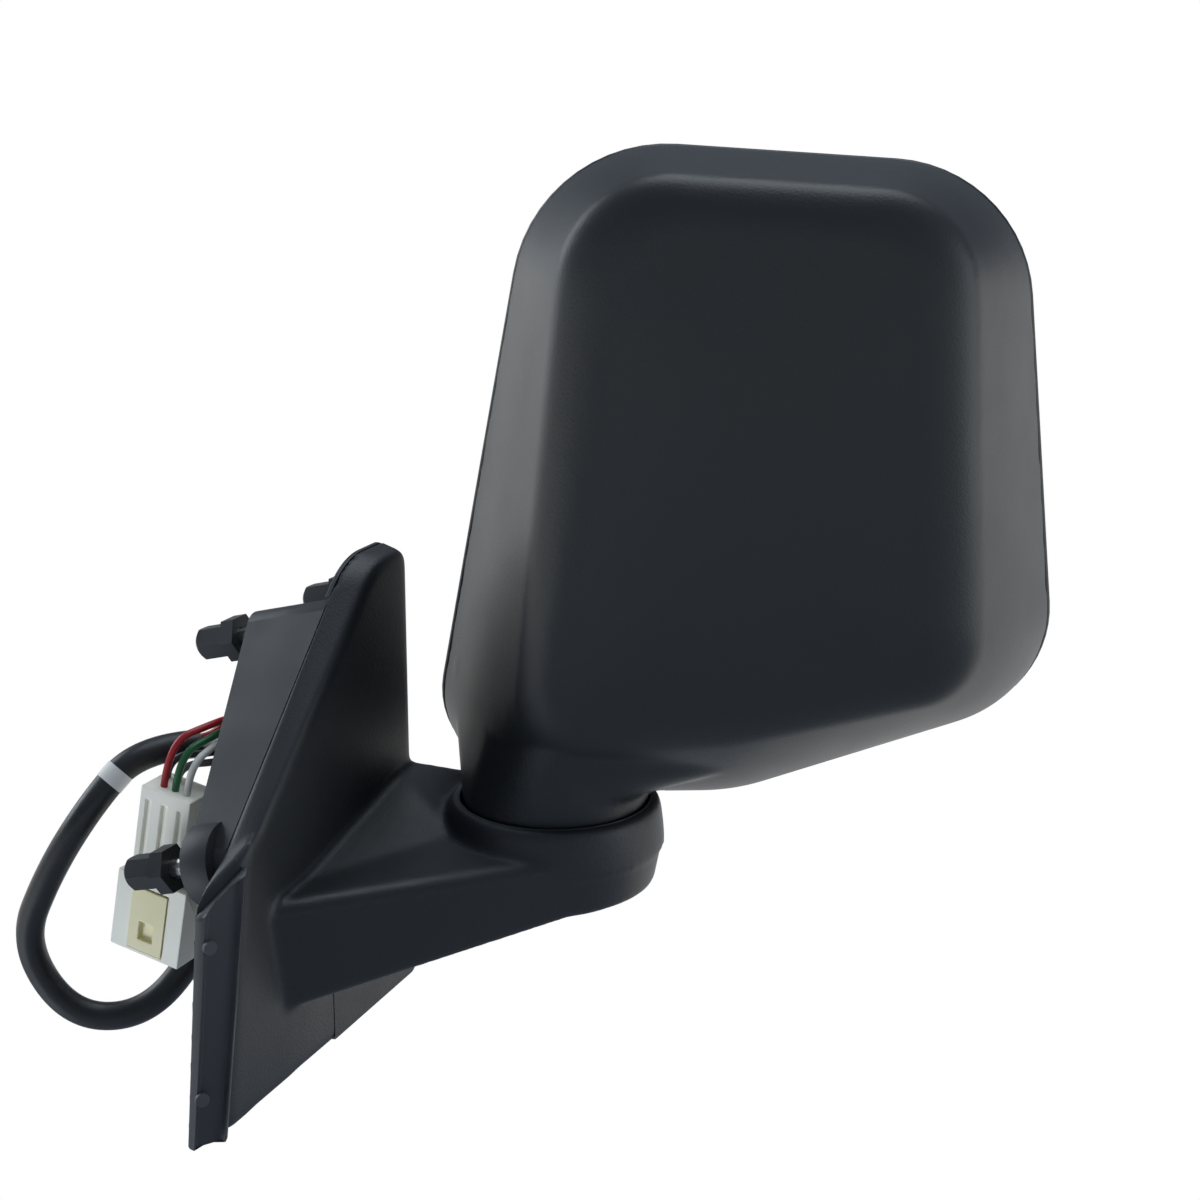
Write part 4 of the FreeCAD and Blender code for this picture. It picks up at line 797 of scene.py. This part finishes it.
@dataclass
class Harness:
    """The sleeve, its five wires and the connector."""

    frame: dict
    sleeve: tuple = ((8.8, 8.0, -12.1), (-11.8, 8.0, -17.7), (-17.0, 5.0, -40.0), (-20.0, -4.0, -64.0),
                     (-31.0, -18.0, -81.0), (-50.0, -29.0, -80.0), (-63.0, -33.0, -57.0),
                     (-52.0, -32.0, -33.0), (-40.0, -26.0, -12.0), (-31.0, -13.0, 3.0), (-20.0, 1.0, 1.5))
    sleeve_mm: tuple[float, float] = (226.0, 8.5)
    wires: dict = field(default_factory=lambda: {
        "grey": (35.5, ((-19.1, 0.1, -0.2), (-14.3, 6.2, -0.8), (-9.5, 2.0, -0.6), (-6.8, -7.0, 0.4),
                        (-16.8, -13.0, 0.0), (-17.9, -13.0, -5.2))),
        "black": (43.7, ((-21.0, 1.6, -0.2), (-16.2, 7.7, -0.8), (-9.5, 6.0, 2.0), (-7.5, -7.0, 3.0),
                        (-20.2, -13.0, 2.7), (-21.6, -13.0, -4.5))),
        "white": (37.8, ((-18.4, -0.2, 2.1), (-15.2, 4.0, 1.7), (-9.5, 0.8, 4.6), (-8.2, -7.0, 5.6),
                        (-9.2, -18.6, 2.7), (-11.0, -18.6, -6.6))),
        "green": (48.4, ((-21.5, 2.2, 2.1), (-18.2, 6.4, 1.7), (-9.5, 7.2, 7.2), (-8.8, -7.0, 8.2),
                        (-12.7, -18.6, 5.5), (-14.9, -18.6, -5.8))),
        "red": (47.9, ((-19.9, 1.1, 3.5), (-17.6, 4.1, 3.2), (-9.5, 4.0, 10.5), (-9.6, -7.0, 11.5),
                        (-16.1, -18.6, 8.9), (-18.8, -18.6, -5.1)))})
    wire_mm: float = 2.2
    band: tuple = ((-36.6, -21.1, -6.3), (-35.5, -19.5, -4.5), (-34.4, -17.9, -2.7))

    def run(self, name: str, route: tuple, diameter: float) -> bpy.types.Object:
        """A round cord on a smooth NURBS line that has the route as its control points."""
        line = bpy.data.curves.new(name, "CURVE")
        line.dimensions = "3D"
        line.bevel_depth = diameter / 2.0 * MM
        line.bevel_resolution = 5
        line.resolution_u = 14
        line.use_fill_caps = True
        spline = line.splines.new("NURBS")
        spline.points.add(len(route) - 1)
        spots = np.column_stack([np.array(route) * MM, np.ones(len(route))])
        spline.points.foreach_set("co", spots.ravel())
        spline.order_u = 3
        spline.use_endpoint_u = True
        made = bpy.data.objects.new(name, line)
        bpy.context.scene.collection.objects.link(made)
        return made

    def build(self) -> None:
        """Make the cords, and dress the connector and the grommet."""
        sleeve = self.run("sleeve", self.sleeve, self.sleeve_mm[1])
        finish_piece(sleeve, "base", SLEEVE_PVC, ("harness_sleeve",))
        band = self.run("tape_band", self.band, self.sleeve_mm[1] + 0.5)
        finish_piece(band, "base", TAPE)
        for colour, (length, route) in self.wires.items():
            wire = self.run("wire_" + colour + "_run", route, self.wire_mm)
            finish_piece(wire, "base", WIRE_FINISHES[colour], ("wire_" + colour,))
        dress_node(self.frame, "connector_housing", UPPER_PBT, 0.35)
        dress_node(self.frame, "connector_lock", LOCK_PBT, 0.3)
        dress_node(self.frame, "connector_terminals", TIN_PLATE)
        dress_node(self.frame, "harness_grommet", EPDM, 0.4)


# ---------------------------------------------------------------- pieces that keep their CAD shape

@dataclass
class CarriedParts:
    """Pieces whose worked-out shape is right, and which only need their finish and soft edges."""

    frame: dict
    finishes: dict = field(default_factory=lambda: {
        COATED_CASTING: (("base_bracket", 1.2),),
        RAW_CASTING: (("head_frame", 0.5),),
        ZINC_PLATE: (("mounting_studs", 0.5), ("spring_washer", 0.2), ("post_retainer", 0.4)),
        BLACK_ZINC: (("cover_screws", 0.3), ("arm_cover_screws", 0.3), ("housing_screws", 0.3),
                     ("actuator_screws", 0.3)),
        CAP_NYLON: (("cap_lower", 0.5), ("cap_upper", 0.5), ("cap_rear", 0.5)),
        EPDM: (("base_gasket", 0.2), ("pivot_seal", 0.3)),
        PIVOT_STEEL: (("pivot_post", 0.3), ("detent_ring", 0.3)),
        SPRING_STEEL: (("disc_springs", 0.2),),
        ACETAL: (("pivot_bush", 0.2), ("pan_gear", 0.15), ("tilt_gear", 0.15), ("pan_jackscrew", 0.2),
                 ("tilt_jackscrew", 0.2), ("gimbal_ring", 0.3)),
        DRIVE_PLASTIC: (("actuator_case", 0.6), ("actuator_cover", 0.5), ("glass_holder", 0.4)),
        MOTOR_CAN: (("pan_motor", 0.4), ("tilt_motor", 0.4)),
        BRASS: (("pan_worm", 0.0), ("tilt_worm", 0.0)),
        FOAM: (("glass_pad", 0.0),),
        SILVERED_GLASS: (("mirror_glass", 0.4),),
        SLEEVE_PVC: (("base_lead", 0.0), ("head_lead", 0.0))})

    def build(self) -> None:
        """Dress every node in the table."""
        for finish, names in self.finishes.items():
            for name, edge_mm in names:
                dress_node(self.frame, name, finish, edge_mm)


# ---------------------------------------------------------------- studio

@dataclass
class Studio:
    """Pale floor, soft lights and the camera."""

    camera_at: tuple[float, float, float] = (0.37299, -0.55909, 0.23912)
    camera_way: tuple[float, float, float] = (-0.40625, 0.87120, -0.27564)
    lens: float = 72.0
    floor_z: float = -0.17
    floor_half: float = 25.0
    dome_radius: float = 24.0
    low_sky: str = "#5c6470"
    high_sky: str = "#7d8692"
    # The card is painted shade: a dim grey glow under and before the object that stands for the floor's
    # shaded patch there, seen only in the object's light and reflections.
    shade_card: tuple = ((-0.3, -1.4), (1.3, 0.14))
    painted_shade_grey: str = "#8a95a3"
    lamps: tuple = (("key_left", (-1.25, 0.1, 0.55), 0.9, 9.0),
                    ("side_right", (1.3, 0.3, 0.1), 0.9, 4.0),
                    ("top_soft", (0.1, 0.3, 1.2), 0.9, 7.0),
                    ("bounce_left", (-0.45, -0.5, -0.5), 0.3, 2.5))

    def light(self, name: str, place: tuple, aim: tuple, size: float, power: float) -> None:
        """One square soft light, aimed at a point."""
        data = bpy.data.lights.new(name, "AREA")
        data.shape = "SQUARE"
        data.size = size
        data.energy = power
        data.color = (0.86, 0.94, 1.0)
        lamp = bpy.data.objects.new(name, data)
        lamp.location = place
        lamp.rotation_euler = (Vector(aim) - Vector(place)).to_track_quat("-Z", "Y").to_euler()
        bpy.context.scene.collection.objects.link(lamp)

    def sky(self) -> None:
        """A dim room that is a little brighter overhead: two greys mixed by the height looked at."""
        world = bpy.data.worlds.new("soft_room")
        world.use_nodes = True
        tree = world.node_tree
        tree.nodes.clear()
        way = add_node(tree, "ShaderNodeTexCoord").outputs["Generated"]
        height = add_node(tree, "ShaderNodeSeparateXYZ", {"Vector": way}).outputs["Z"]
        share = add_node(tree, "ShaderNodeMapRange", {
            "Value": height, "From Min": -0.3, "From Max": 0.7}).outputs["Result"]
        grey = add_node(tree, "ShaderNodeMixRGB", {
            "Fac": share, "Color1": linear(self.low_sky), "Color2": linear(self.high_sky)})
        glow = add_node(tree, "ShaderNodeBackground", {"Color": grey.outputs["Color"], "Strength": 1.0})
        add_node(tree, "ShaderNodeOutputWorld", {"Surface": glow.outputs["Background"]})
        bpy.context.scene.world = world

    def glow(self, piece: bpy.types.Object, colour: str) -> None:
        """Give a stage piece an even glow, and keep it from shading anything."""
        paper = bpy.data.materials.new(piece.name + "_glow")
        paper.use_nodes = True
        paper.node_tree.nodes.clear()
        light = add_node(paper.node_tree, "ShaderNodeEmission", {"Color": linear(colour), "Strength": 1.0})
        add_node(paper.node_tree, "ShaderNodeOutputMaterial", {"Surface": light.outputs["Emission"]})
        piece.data.materials.append(paper)
        piece.visible_shadow = False

    def sheet(self, name: str, low: tuple, high: tuple, level: float, colour: str) -> bpy.types.Object:
        """A flat glowing rectangle between two corners, at one level."""
        corners = np.array([(low[0], low[1], level), (high[0], low[1], level),
                            (high[0], high[1], level), (low[0], high[1], level)]) / MM
        made = mesh_object(name, corners, [[0, 1, 2, 3]])
        self.glow(made, colour)
        return made

    def surroundings(self) -> None:
        """White floor and backdrop, and a grey card of painted shade under and before the object, standing
        for the shaded floor there, that only the object sees.
        """
        far = self.floor_half
        self.sheet("floor", (-far, -far), (far, far), self.floor_z, "#ffffff")
        # Painted shade: a grey glowing sheet that stands for the shaded floor under and before the object,
        # hidden from the camera.
        shade_card = self.sheet("painted_shade_card", *self.shade_card, self.floor_z + 0.002, self.painted_shade_grey)
        shade_card.visible_camera = False
        unit = ellipse(48)
        rings = [self.dome_radius * np.column_stack([unit * math.cos(lean), np.full(48, math.sin(lean))])
                 for lean in np.linspace(-0.3, math.pi / 2.0 - 0.02, 12)]
        dome = skin("backdrop", np.stack(rings) / MM)
        self.glow(dome, "#ffffff")
        dome.visible_diffuse = False
        dome.visible_glossy = False

    def build(self) -> None:
        """Make the floor, lights, sky and camera."""
        self.surroundings()
        self.sky()
        bpy.context.scene.view_settings.view_transform = "Standard"
        middle = (0.10, 0.03, 0.05)
        for name, place, size, power in self.lamps:
            self.light(name, place, middle, size, power)
        data = bpy.data.cameras.new("camera")
        data.lens = self.lens
        data.sensor_width = 36.0
        data.clip_start = 0.01
        camera = bpy.data.objects.new("camera", data)
        turn = Vector(self.camera_way).to_track_quat("-Z", "Y").to_matrix().to_4x4()
        camera.matrix_world = Matrix.Translation(self.camera_at) @ turn
        bpy.context.scene.collection.objects.link(camera)
        bpy.context.scene.camera = camera


def main(frame: dict) -> None:
    """Build every sub-assembly in order."""
    logging.basicConfig(level=logging.INFO, format="%(name)s: %(message)s")
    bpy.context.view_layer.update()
    Studio().build()
    Harness(frame).build()
    SailAndArm(frame).build()
    EdgeChannel(frame).build()
    HeadShell(frame).build()
    CarriedParts(frame).build()


if __name__ == "__main__":
    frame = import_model()
    main(frame)
